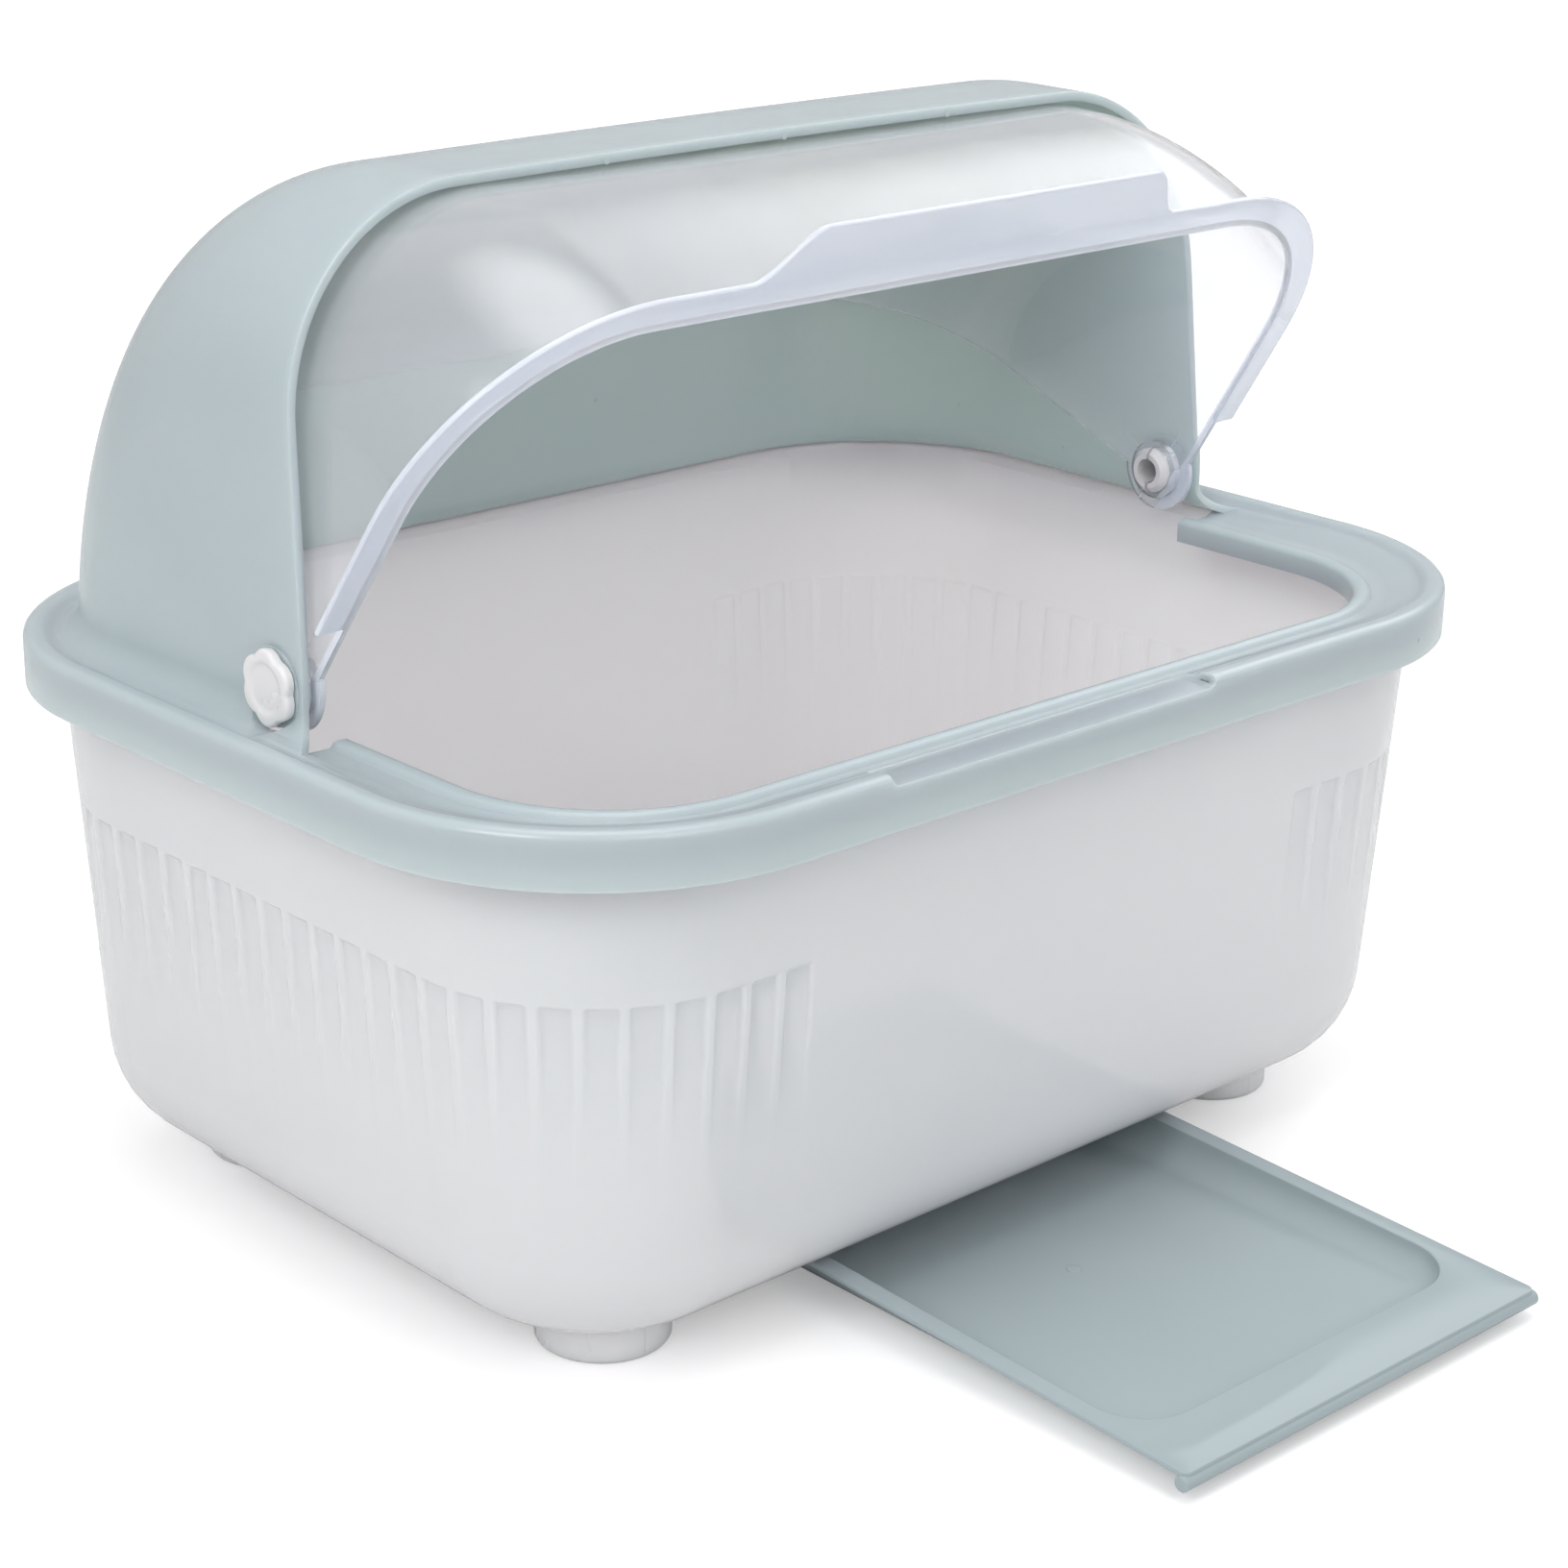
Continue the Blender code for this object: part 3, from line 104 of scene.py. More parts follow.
def settle(target, crease=35):
    bpy.context.view_layer.update()
    seen = target.evaluated_get(bpy.context.evaluated_depsgraph_get())
    mesh = bpy.data.meshes.new_from_object(seen)
    target.modifiers.clear()
    old = target.data
    target.data = mesh
    bpy.data.meshes.remove(old)
    mesh.shade_smooth()
    mesh.set_sharp_from_angle(angle=math.radians(crease))
    print(f"{target.name}: {len(mesh.polygons)} faces")


def fit_in_frame(piece, body, finish, node):
    """The piece goes to its place, takes its finish, rides on its body and stands for its CAD node."""
    workshop.remove(piece)
    piece.data.materials.clear()
    piece.data.materials.append(finish)
    piece.location.y += MIDDLE_Y
    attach(piece, body)
    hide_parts(node)


print("objects in the making:", len(workshop))

# %% [markdown]
# Most of the mouldings are skins stretched over a stack of closed outlines, as a boat's skin is stretched
# over its ribs. That could be done with a Skin or Screw modifier, but the outlines change shape on the way,
# so a short loft function in mesh code is the clearest way. Doubled points are welded and all faces are
# turned outwards, because a Boolean needs both.

# %% A loft over closed outlines
WELD = 2e-6


def loft(name, rings, endless=False, slit=False, more=()):
    """A skin over rings of points. endless joins the last ring to the first instead of closing both ends with
    a flat face, slit leaves each ring open between its last and its first point, and more has extra faces."""
    count = len(rings[0])
    faces = []
    for row in range(len(rings) if endless else len(rings) - 1):
        low, high = row * count, (row + 1) % len(rings) * count
        for step in range(count - 1 if slit else count):
            after = (step + 1) % count
            faces.append((low + step, low + after, high + after, high + step))
    if not endless:
        faces.append(tuple(range(count)))
        faces.append(tuple(range((len(rings) - 1) * count, len(rings) * count)))
    shape = bmesh.new()
    corners = [shape.verts.new(point) for ring in rings for point in ring]
    for face in (*faces, *more):
        shape.faces.new([corners[index] for index in face])
    bmesh.ops.remove_doubles(shape, verts=shape.verts, dist=WELD)
    bmesh.ops.dissolve_degenerate(shape, edges=shape.edges, dist=WELD)
    bmesh.ops.recalc_face_normals(shape, faces=shape.faces)
    return raw(name, shape)


print("points closer than", WELD * 1000, "mm become one")

# %% [markdown]
# Nearly every outline here is a rounded rectangle, and most profiles hold an arc. Forty steps to a corner
# keep the highlights free of facets. Cutters reach a little past the surface, so that no two faces coincide.

# %% A rounded rectangle and an arc
CORNER_STEPS = 40
QUARTER = math.pi / 2
OVERRUN = 0.004


def outline(half_x, half_y, radius, z, steps=CORNER_STEPS, middle_y=0.0):
    ring = []
    for quarter, (sign_x, sign_y) in enumerate(((1, 1), (-1, 1), (-1, -1), (1, -1))):
        for step in range(steps + 1):
            angle = QUARTER * (quarter + step / steps)
            x = sign_x * (half_x - radius) + radius * math.cos(angle)
            y = middle_y + sign_y * (half_y - radius) + radius * math.sin(angle)
            ring.append((x, y, z))
    return ring


def shrunk(half, corner, inset):
    """Half sizes and corner radius of an outline, with its edge moved inwards."""
    return half[0] - inset, half[1] - inset, corner - inset


def arc(first, last, steps):
    """Cosine and sine at each step from the first angle to the last."""
    angles = [first + (last - first) * step / steps for step in range(steps + 1)]
    return [(math.cos(angle), math.sin(angle)) for angle in angles]


print("points in one outline:", len(outline(0.2, 0.15, 0.05, 0)))

# %% [markdown]
# Bars, discs and bores are all one round tool between two points. A block is given by two corners, and
# several loose shapes can be merged into one mesh, so that one Boolean can use them all.

# %% Bars, blocks and merged shapes
def bar(name, radius, start, end, steps=64, tip_radius=None):
    shape = bmesh.new()
    span = Vector(end) - Vector(start)
    turn = Vector((0, 0, 1)).rotation_difference(span).to_matrix().to_4x4()
    bmesh.ops.create_cone(
        shape,
        cap_ends=True,
        segments=steps,
        radius1=radius,
        radius2=radius if tip_radius is None else tip_radius,
        depth=span.length,
        matrix=Matrix.Translation((Vector(start) + Vector(end)) / 2) @ turn,
    )
    return raw(name, shape)


def block(name, low, high):
    shape = bmesh.new()
    place = Matrix.Translation((Vector(high) + Vector(low)) / 2)
    size = Vector(high) - Vector(low)
    bmesh.ops.create_cube(shape, size=1, matrix=place @ Matrix.Diagonal((*size, 1)))
    return raw(name, shape)


def merged(name, objects):
    shape = bmesh.new()
    for each in objects:
        part = bpy.data.meshes.new_from_object(each)
        part.transform(each.matrix_world)
        shape.from_mesh(part)
        bpy.data.meshes.remove(part)
    return raw(name, shape)


print("loose shapes:", ", ".join(tool.__name__ for tool in (bar, block, merged)))

# %% [markdown]
# ## The finishes
# The finishes are built from a few kinds of node. `dial` gives a socket its number, or a link where it is
# handed another node's output, so that each node is written in one line with what feeds it.

# %% Helpers for nodes
def dial(node, sockets):
    for name, value in sockets.items():
        if isinstance(value, bpy.types.NodeSocket):
            node.id_data.links.new(value, node.inputs[name])
        else:
            node.inputs[name].default_value = value


def add(tree, kind, sockets=None, **settings):
    node = tree.nodes.new(kind)
    for name, setting in settings.items():
        setattr(node, name, setting)
    dial(node, sockets or {})
    return node


def noise(where, scale, detail=2.0, roughness=0.5):
    sockets = {"Vector": where, "Scale": scale, "Detail": detail, "Roughness": roughness}
    return add(where.id_data, "ShaderNodeTexNoise", sockets).outputs["Fac"]


def spread(value, low, high, to_low, to_high, kind="LINEAR"):
    """Maps the range from low to high onto the range from to_low to to_high."""
    sockets = {"Value": value, "From Min": low, "From Max": high, "To Min": to_low, "To Max": to_high}
    return add(value.id_data, "ShaderNodeMapRange", sockets, interpolation_type=kind).outputs["Result"]


def both(operation, first, second):
    sockets = {0: first, 1: second}
    return add(first.id_data, "ShaderNodeMath", sockets, operation=operation, use_clamp=True).outputs[0]


def blend(first, second, share):
    """A colour between the first and the second."""
    sockets = {"A": first, "B": second, "Factor": share}
    return add(share.id_data, "ShaderNodeMix", sockets, data_type="RGBA").outputs["Result"]


def bump(height, strength, distance, under=None):
    sockets = {"Height": height, "Strength": strength, "Distance": distance}
    if under is not None:
        sockets["Normal"] = under
    return add(height.id_data, "ShaderNodeBump", sockets).outputs["Normal"]


def fresh(name):
    """A new material, its node tree, its shader and the place on the object."""
    made = bpy.data.materials.new(name)
    made.use_nodes = True
    tree = made.node_tree
    return made, tree, tree.nodes["Principled BSDF"], add(tree, "ShaderNodeTexCoord").outputs["Object"]


print("node helpers:", ", ".join(tool.__name__ for tool in (noise, spread, both, blend, bump)))

# %% [markdown]
# All the opaque mouldings are polypropylene out of a polished mould: a clear reflection, softened by a fine
# orange peel, faint flow clouds in the colour and gloss that is uneven where hands and sponges have been. A
# slightly paler line along edges is a painted highlight for the light the rounded edges catch. Each finish
# could be one Principled shader with a flat colour, but the real surface never looks that even, so noise in
# object space drives colour, roughness and bump.

# %% Moulded plastic
CLOUDS, SPECKS, RARE, HANDLED, PEEL, WAVES = 7.0, 38.0, 23.0, 16.0, 420.0, 34.0
PEEL_HEIGHT, WAVE_HEIGHT = 0.0006, 0.004
MIDDLING = (0.35, 0.7)
CONVEX = (0.53, 0.66)
GRIME = 0.45
PLASTIC_IOR = 1.49


def moulded(name, colour, pale, gloss, uneven=0.05, peel=0.04, wave=0.06, specks=0.0, glow=0.0,
            depth=0.012, hue=(1.0, 0.88, 0.86), shine=0.5):
    """colour is the body of the plastic, and pale its flow clouds and the painted highlight along its edges.
    gloss is its roughness, and hue says how deep each colour of light goes into it."""
    made, tree, shader, place = fresh(name)
    edge = add(tree, "ShaderNodeNewGeometry").outputs["Pointiness"]
    clouds = spread(noise(place, CLOUDS, 4.0), *MIDDLING, 0.0, 0.55)
    # painted highlight: convex edges turn paler, standing in for the light that rounded edges catch
    painted_edge_highlight = spread(edge, *CONVEX, 0.0, 0.5)
    top = blend((*colour, 1), (*pale, 1), both("ADD", clouds, painted_edge_highlight))
    if specks:
        dots = add(tree, "ShaderNodeTexVoronoi", {"Vector": place, "Scale": SPECKS})
        near = spread(dots.outputs["Distance"], 0.018, 0.05, specks, 0.0)
        rare = spread(noise(place, RARE), 0.58, 0.62, 0.0, 1.0)
        grime = tuple(value * GRIME for value in colour) + (1,)
        top = blend(top, grime, both("MULTIPLY", near, rare))
    handled = noise(place, HANDLED, 5.0, 0.62)
    skin = bump(noise(place, PEEL, 3.0), peel, PEEL_HEIGHT)
    dial(shader, {
        "Base Color": top,
        "Roughness": spread(handled, *MIDDLING, gloss - uneven / 2, gloss + uneven),
        "Normal": bump(noise(place, WAVES, 1.0), wave, WAVE_HEIGHT, skin),
        "IOR": PLASTIC_IOR,
        "Specular IOR Level": shine,
        "Subsurface Weight": glow,
        "Subsurface Radius": hue,
        "Subsurface Scale": depth,
    })
    return made


print("orange peel about", round(1000 / PEEL, 1), "mm apart")

# %% The opaque finishes
WHITE, PALE_WHITE = (0.92, 0.888, 0.925), (0.93, 0.905, 0.94)
SAGE, PALE_SAGE = (0.435, 0.508, 0.532), (0.475, 0.548, 0.572)
TRAY_SAGE, PALE_TRAY = (0.335, 0.40, 0.42), (0.37, 0.435, 0.455)
PIN_WHITE, PALE_PIN = (0.79, 0.775, 0.785), (0.83, 0.82, 0.83)
RACK_WHITE, PALE_RACK = (0.83, 0.82, 0.84), (0.87, 0.86, 0.88)
FOOT_WHITE, PALE_FOOT = (0.90, 0.885, 0.91), (0.92, 0.91, 0.93)
TUB_FINISH = moulded("glossy_white_tub", WHITE, PALE_WHITE, 0.07, 0.03, 0.02, 0.02, glow=0.95, depth=0.018)
COVER_FINISH = moulded("sage_cover_plastic", SAGE, PALE_SAGE, 0.20, wave=0.03, specks=0.5, glow=0.7,
                       hue=(0.9, 1.0, 0.8))
TRAY_FINISH = moulded("sage_tray_plastic", TRAY_SAGE, PALE_TRAY, 0.12, 0.03, 0.02, 0.02, specks=0.25,
                      shine=0.3)
PIN_FINISH = moulded("flower_pin_white", PIN_WHITE, PALE_PIN, 0.25, peel=0.03, wave=0.02)
RACK_FINISH = moulded("rack_white_plastic", RACK_WHITE, PALE_RACK, 0.28)
FOOT_FINISH = moulded("foot_white_plastic", FOOT_WHITE, PALE_FOOT, 0.27, glow=0.9)
print("opaque finishes:", ", ".join(sorted(each.name for each in bpy.data.materials if each.use_nodes)))

# %% [markdown]
# The visor is clear styrene with a faint milky, bluish cast. A full glass shader refracts, but lamps don't
# shine through it and the hood would lie in a black shadow, so shadow rays are let through a transparent
# shader instead. A little plain white is mixed in for the milkiness, and more along edges as a painted
# highlight for the light lines they catch. The flange round the free edge is thicker and frosted, so it gets
# more of it: a point lies on the flange when it is far enough below the pivot, seen with the visor shut, and
# that is one dot product in object space.

# %% Clear plastic
RAISED = math.radians(57.0)
FLANGE_SIDE = (0, math.sin(RAISED), math.cos(RAISED))
FLANGE_BELOW, FLANGE_CLEAR = -0.0079, -0.0075
FROST = 0.42
CLEAR, BLUISH, SHADOW_TINT = (0.955, 0.96, 0.98, 1), (0.78, 0.84, 0.96, 1), (0.93, 0.945, 0.96, 1)
PATCHES, FILM, RIPPLES = 9.0, 20.0, 28.0
RIPPLE, RIPPLE_HEIGHT = 0.05, 0.003
VISOR_IOR = 1.5


def clear_plastic(name):
    made, tree, shader, place = fresh(name)
    edge = add(tree, "ShaderNodeNewGeometry").outputs["Pointiness"]
    height = add(tree, "ShaderNodeVectorMath", {0: place, 1: FLANGE_SIDE}, operation="DOT_PRODUCT")
    frosted = spread(height.outputs["Value"], FLANGE_BELOW, FLANGE_CLEAR, FROST, 0.0)
    patches = spread(noise(place, PATCHES, 3.0), 0.4, 0.7, 0.0, 0.2)
    # painted highlight: convex edges get more plain white, added to the real frosting of the flange
    frost_and_edge_highlight = both("ADD", frosted, spread(edge, *CONVEX, 0.12, 0.5))
    dial(shader, {
        "Base Color": blend(CLEAR, BLUISH, both("ADD", frosted, patches)),
        "Transmission Weight": spread(frost_and_edge_highlight, 0.0, 1.0, 1.0, 0.0),
        "Roughness": spread(noise(place, FILM, 5.0), *MIDDLING, 0.035, 0.085),
        "Normal": bump(noise(place, RIPPLES, 1.0), RIPPLE, RIPPLE_HEIGHT),
        "IOR": VISOR_IOR,
    })
    shadow_ray = add(tree, "ShaderNodeLightPath").outputs["Is Shadow Ray"]
    through = add(tree, "ShaderNodeBsdfTransparent", {"Color": SHADOW_TINT}).outputs["BSDF"]
    choice = add(tree, "ShaderNodeMixShader", {"Fac": shadow_ray, 1: shader.outputs["BSDF"], 2: through})
    dial(tree.nodes["Material Output"], {"Surface": choice.outputs["Shader"]})
    return made


VISOR_FINISH = clear_plastic("clear_visor_plastic")
print("visor finish:", VISOR_FINISH.name)

# %% [markdown]
# ## The tub
# The tub narrows by its mould draft, turns in over a large foot fillet, and ends above in a flat rim under
# the cover. Shallow flutes run round the ends and the corners; they fade out towards the foot, because a
# groove with no draft of its own runs out of the tapering wall, and each shows as a slim rib inside. Cutting
# them as blocks leaves hard lumpy edges, so here the wall's points are simply drawn close together at each
# flute and pushed in: a dense grid with a smooth dent needs no Boolean at all.

# %% Sizes of the tub and of the rim above it
RIM_HALF = (0.225, 0.166)
RIM_CORNER = 0.0894
SKIRT_Z = 0.1775
CREST_Z = 0.1953
TUB_HALF = (0.2099, 0.1518)
TUB_CORNER = 0.068
DRAFT = math.tan(math.radians(3.65))
BOTTOM_Z = 0.0131
FILLET = 0.0374
WALL = 0.0023
FLUTE_TOP = 0.135
FLUTE_FADE = 0.080
FLUTE_DEPTH = 0.0010
RIB_HEIGHT = 0.0007
FLUTE_WIDTH = 0.0085
FLUTE_SHOULDER = 0.0015
FLUTE_PITCH = 0.0135
PLAIN_HALF = 0.113
print("tub", [2000 * half for half in TUB_HALF], "mm at the skirt of the cover")

# %% [markdown]
# One walk round the wall, at the height of the flute tops, lists where the flutes are. It starts at the
# front end of the right side and goes anticlockwise. It gives each point a side (one of the eight straights
# and corners), a share along it and how deep in a flute it lies. A last pair of points lies just outside
# each flute's shoulder, so that its smooth shading doesn't run out over the flat wall.

# %% A walk round the wall
SIDE_STEPS = 24
SHOULDER_SHARES = (1.4, 1.0, 0.67, 0.33, 0.0)


def smooth(share):
    share = min(max(share, 0.0), 1.0)
    return share * share * (3 - 2 * share)


def wall_stations():
    half_x, half_y, corner = shrunk(TUB_HALF, TUB_CORNER, (SKIRT_Z - FLUTE_TOP) * DRAFT)
    straight_x, straight_y, bend = 2 * (half_x - corner), 2 * (half_y - corner), corner * QUARTER
    lengths = [straight_y, bend, straight_x, bend] * 2
    total = 2 * (straight_x + straight_y) + 4 * bend
    front = half_x - corner - PLAIN_HALF - FLUTE_WIDTH / 2
    fluted = front * 2 + bend * 2 + straight_y
    count = round(fluted / FLUTE_PITCH)
    right = [-bend - front + fluted * number / count for number in range(count + 1)]
    centres = sorted(run % total for run in right + [run + total / 2 for run in right])
    half = FLUTE_WIDTH / 2
    offsets = [-half - FLUTE_SHOULDER * share for share in SHOULDER_SHARES] + [0.0]
    runs = [centre + sign * offset for centre in centres for offset in offsets for sign in (1, -1)]
    start = 0.0
    for length in lengths:
        runs += [start + length * step / SIDE_STEPS for step in range(SIDE_STEPS)]
        start += length
    runs = sorted(run % total for run in runs)
    kept = [runs[0]]
    for run in runs[1:]:
        if run - kept[-1] > FLUTE_SHOULDER / 4:
            kept.append(run)
    stations = []
    for run in kept:
        away = min(min(abs(run - centre), total - abs(run - centre)) for centre in centres)
        dent = smooth((half + FLUTE_SHOULDER - away) / FLUTE_SHOULDER)
        side, along = 0, run
        while along > lengths[side]:
            along -= lengths[side]
            side += 1
        stations.append((side, along / lengths[side], dent))
    return stations


STATIONS = wall_stations()
in_flutes = sum(1 for side, along, dent in STATIONS if dent > 0.5)
print("points round the wall:", len(STATIONS), "of which in flutes:", in_flutes)

# %% [markdown]
# A ring of the tub puts every station on a rounded rectangle of any size, pushed in by the flute's dent.
# Rings of the same kind, with the dent or without it, make the fillet, the fluted wall and the section under
# the cover.

# %% One ring of the tub
def station_ring(half_x, half_y, corner, z, push=0.0):
    inner_x, inner_y = half_x - corner, half_y - corner
    hubs = ((inner_x, inner_y), (-inner_x, inner_y), (-inner_x, -inner_y), (inner_x, -inner_y))
    ring = []
    for side, share, dent in STATIONS:
        quarter = side // 2
        if side % 2:
            angle = QUARTER * (quarter + share)
            hub = hubs[quarter]
        else:
            angle = QUARTER * quarter
            near, far = hubs[quarter - 1], hubs[quarter]
            hub = (near[0] + (far[0] - near[0]) * share, near[1] + (far[1] - near[1]) * share)
        reach = corner - push * dent
        ring.append((hub[0] + reach * math.cos(angle), hub[1] + reach * math.sin(angle), z))
    return ring


def wall_ring(z, inset=0.0, push=0.0):
    taper = (SKIRT_Z - z) * DRAFT + inset
    return station_ring(*shrunk(TUB_HALF, TUB_CORNER, taper), z, push)


def foot_rings(radius, steps=10, make=station_ring):
    """Rings round the foot fillet, from the tub's flat bottom up to its wall."""
    centre_z = BOTTOM_Z + FILLET
    lean = math.atan(DRAFT)
    centre = (SKIRT_Z - centre_z) * DRAFT + FILLET / math.cos(lean)
    rings = []
    for cosine, sine in arc(QUARTER, lean, steps):
        inset = centre - radius * cosine
        rings.append(make(*shrunk(TUB_HALF, TUB_CORNER, inset), centre_z - radius * sine))
    return rings


def fluted_rings(inset, depth, steps=8):
    """Rings up the wall: the dent grows from nothing at the foot to its depth, and stops in a small step."""
    rings = []
    for step in range(steps + 1):
        z = FLUTE_FADE + (FLUTE_TOP - FLUTE_FADE) * step / steps
        rings.append(wall_ring(z, inset, depth * step / steps))
    for share in (0.35, 0.7, 1.0, 1.4):
        rings.append(wall_ring(FLUTE_TOP + FLUTE_SHOULDER * share, inset, depth * (1 - smooth(share))))
    return rings


def under_rim(inset, z):
    return station_ring(*shrunk(RIM_HALF, RIM_CORNER, inset), z)


print("rings of the fluted wall:", len(fluted_rings(0.0, FLUTE_DEPTH)))

# %% [markdown]
# The tub's skin runs up the outside, over the flat rim, whose section is a list of insets from the cover's
# outside and heights, and down the inside.

# %% The tub's skin
PLAIN_Z = 0.165
NECK_Z, INNER_NECK_Z = 0.1846, 0.1866
FLAT_RIM = ((0.0122, 0.1882), (0.0068, 0.1882), (0.0068, 0.1835), (0.0046, 0.1835),
            (0.0046, 0.1895), (0.0049, 0.1902), (0.0056, 0.1905), (0.0122, 0.1905))
tub_rings = foot_rings(FILLET) + fluted_rings(0.0, FLUTE_DEPTH) + [wall_ring(PLAIN_Z), wall_ring(NECK_Z)]
tub_rings += [under_rim(inset, z) for inset, z in FLAT_RIM]
tub_rings += [wall_ring(INNER_NECK_Z, WALL), wall_ring(PLAIN_Z, WALL)]
tub_rings += fluted_rings(WALL, RIB_HEIGHT)[::-1] + foot_rings(FILLET - WALL)[::-1]
tub = loft("tub_skin", tub_rings)
print("tub skin:", len(tub.data.polygons), "faces before the tunnel is cut")

# %% [markdown]
# The tray's tunnel is a wedge-shaped tray garage in the tub's floor that falls 2.3 degrees towards the
# front, so that water runs forward. From above it shows as a low ramp with sixteen drain slots. It is built
# as the mould would make it: a deck is added, the tunnel is taken out of it, and rails and foot pegs are
# added below.

# %% The tray tunnel and the drain slots
GAP = 0.0003
FALL = math.atan(0.0398)
TRAY_TOP_Z = 0.0210
TRAY_HALF = TUB_HALF[0] * 0.405
TRAY_FLANGE = 0.0018
TUNNEL_HALF = TRAY_HALF + 0.0018
TUNNEL_HEAD = 0.0032
TUNNEL_REAR = 0.100
PEG_Z = 0.0068
SLOT_HALF = (0.015, 0.0025)
SLOT_PLACE = (0.034, -0.088)
SLOT_PITCH = 0.022
SLOT_TOP = 0.0505


def tray_plane(y):
    return TRAY_TOP_Z + y * math.tan(FALL)


def wedge(name, half_x, rear, front, bottom, lift):
    rings = []
    for y in (front, rear):
        top = tray_plane(y) + lift
        rings.append([(-half_x, y, bottom), (half_x, y, bottom), (half_x, y, top), (-half_x, y, top)])
    return loft(name, rings)


floor_z = BOTTOM_Z + WALL / 2
deck = wedge("deck", TUNNEL_HALF + WALL, TUNNEL_REAR + WALL, -TUB_HALF[1], floor_z, TUNNEL_HEAD + WALL)
core = foot_rings(FILLET - WALL / 2, 12, outline)
taper = (SKIRT_Z - FLUTE_FADE) * DRAFT + WALL / 2
core.append(outline(*shrunk(TUB_HALF, TUB_CORNER, taper), FLUTE_FADE))
join_or_cut(deck, loft("deck_trim", core), "INTERSECT")
join_or_cut(tub, deck, "UNION")

tunnel = wedge("tunnel", TUNNEL_HALF, TUNNEL_REAR, -TUB_HALF[1] - OVERRUN, PEG_Z, TUNNEL_HEAD)
join_or_cut(tub, tunnel, "DIFFERENCE")
slots = []
for column in (-1, 1):
    for row in range(8):
        x, y = column * SLOT_PLACE[0], SLOT_PLACE[1] + row * SLOT_PITCH
        low = (x - SLOT_HALF[0], y - SLOT_HALF[1], PEG_Z)
        high = (x + SLOT_HALF[0], y + SLOT_HALF[1], SLOT_TOP)
        slots.append(block(f"drain_{column + 1}_{row}", low, high))
join_or_cut(tub, merged("drain_slots", slots), "DIFFERENCE")
print("drain slots:", len(slots))

# %% Rails and pegs
RAIL_INWARD, RAIL_OUTWARD, RAIL_THICK = 0.0055, 0.0018, 0.0020
RAIL_ENDS = (-0.104, 0.098)
PEG_RADIUS = 0.0070
FOOT_X, FOOT_Y = 0.1449, 0.0903

FEET = {}
for end, y in (("front", -FOOT_Y), ("rear", FOOT_Y)):
    for hand, x in (("left", -FOOT_X), ("right", FOOT_X)):
        FEET[f"{end}_{hand}"] = (x, y)
added = []
for side in (-1, 1):
    near, far = side * (TUNNEL_HALF - RAIL_INWARD), side * (TUNNEL_HALF + RAIL_OUTWARD)
    rings = []
    for y in RAIL_ENDS:
        high = tray_plane(y) - TRAY_FLANGE - GAP
        low = high - RAIL_THICK
        rings.append([(near, y, low), (far, y, low), (far, y, high), (near, y, high)])
    added.append(loft(f"rail_{side + 1}", rings))
for word, (x, y) in FEET.items():
    added.append(bar(f"peg_{word}", PEG_RADIUS, (x, y, PEG_Z), (x, y, floor_z)))
for piece in added:
    join_or_cut(tub, piece, "UNION")
settle(tub, 30)
fit_in_frame(tub, "base", TUB_FINISH, "tub")
print("tub ready, rails and pegs:", len(added))

# %% [markdown]
# ## The feet
# Four plain round feet push up over the pegs. A foot could be a cylinder with a bevel, but the real one has
# a small rolled edge below and a parting line down its side, where the two halves of its mould met.

# %% Four feet
FOOT_RADIUS = 0.0218
FOOT_ROLL = 0.0015
FOOT_SIDE_Z, FOOT_BORE_Z = 0.0070, 0.0062
FOOT_BORE = 0.0073
FOOT_TOP_Z = BOTTOM_Z - GAP
SEAM_LOW, SEAM_HIGH = (-0.0012, -FOOT_RADIUS - 0.001, 0.0012), (-0.0010, -FOOT_RADIUS + 0.0003, BOTTOM_Z)


def turned_ring(radius, z, steps=96, lobe=0.0):
    """A round ring, or with a lobe one whose radius swells six times on its way round."""
    ring = []
    for step in range(steps):
        angle = 2 * math.pi * step / steps
        swell = math.sqrt(math.cos(3 * angle) ** 2 + 0.02)
        reach = radius + lobe * (2 * swell - 1)
        ring.append((reach * math.cos(angle), reach * math.sin(angle), z))
    return ring


foot_profile = []
for cosine, sine in arc(0, QUARTER, 6):
    foot_profile.append((FOOT_RADIUS - FOOT_ROLL * (1 - sine), FOOT_ROLL * (1 - cosine)))
foot_profile += [(FOOT_RADIUS, FOOT_SIDE_Z), (FOOT_RADIUS, BOTTOM_Z - 0.0007)]
foot_profile += [(FOOT_RADIUS - 0.0004, FOOT_TOP_Z), (FOOT_BORE, FOOT_TOP_Z), (FOOT_BORE, FOOT_BORE_Z)]
for word, (x, y) in FEET.items():
    foot = loft(f"foot_{word}_turned", [turned_ring(radius, z) for radius, z in foot_profile])
    join_or_cut(foot, block(f"seam_{word}", SEAM_LOW, SEAM_HIGH), "DIFFERENCE")
    settle(foot)
    foot.location = (x, y, 0)
    fit_in_frame(foot, "base", FOOT_FINISH, f"foot_{word}")
print("feet:", len(FEET), "of", round(FOOT_RADIUS * 2000, 1), "mm")

# %% [markdown]
# ## The cover
# Rim and hood are one moulding. The rim's section never changes round the front: a skirt over the tub's
# flange, a rounded crest, a shallow groove and an upturned lip at the mouth. So the section is written once,
# as outlines from the outside in and back underneath, and lofted into an endless band. Its edges get a real
# bevel, because the light lines along crest and lip are what the eye reads as moulded plastic.

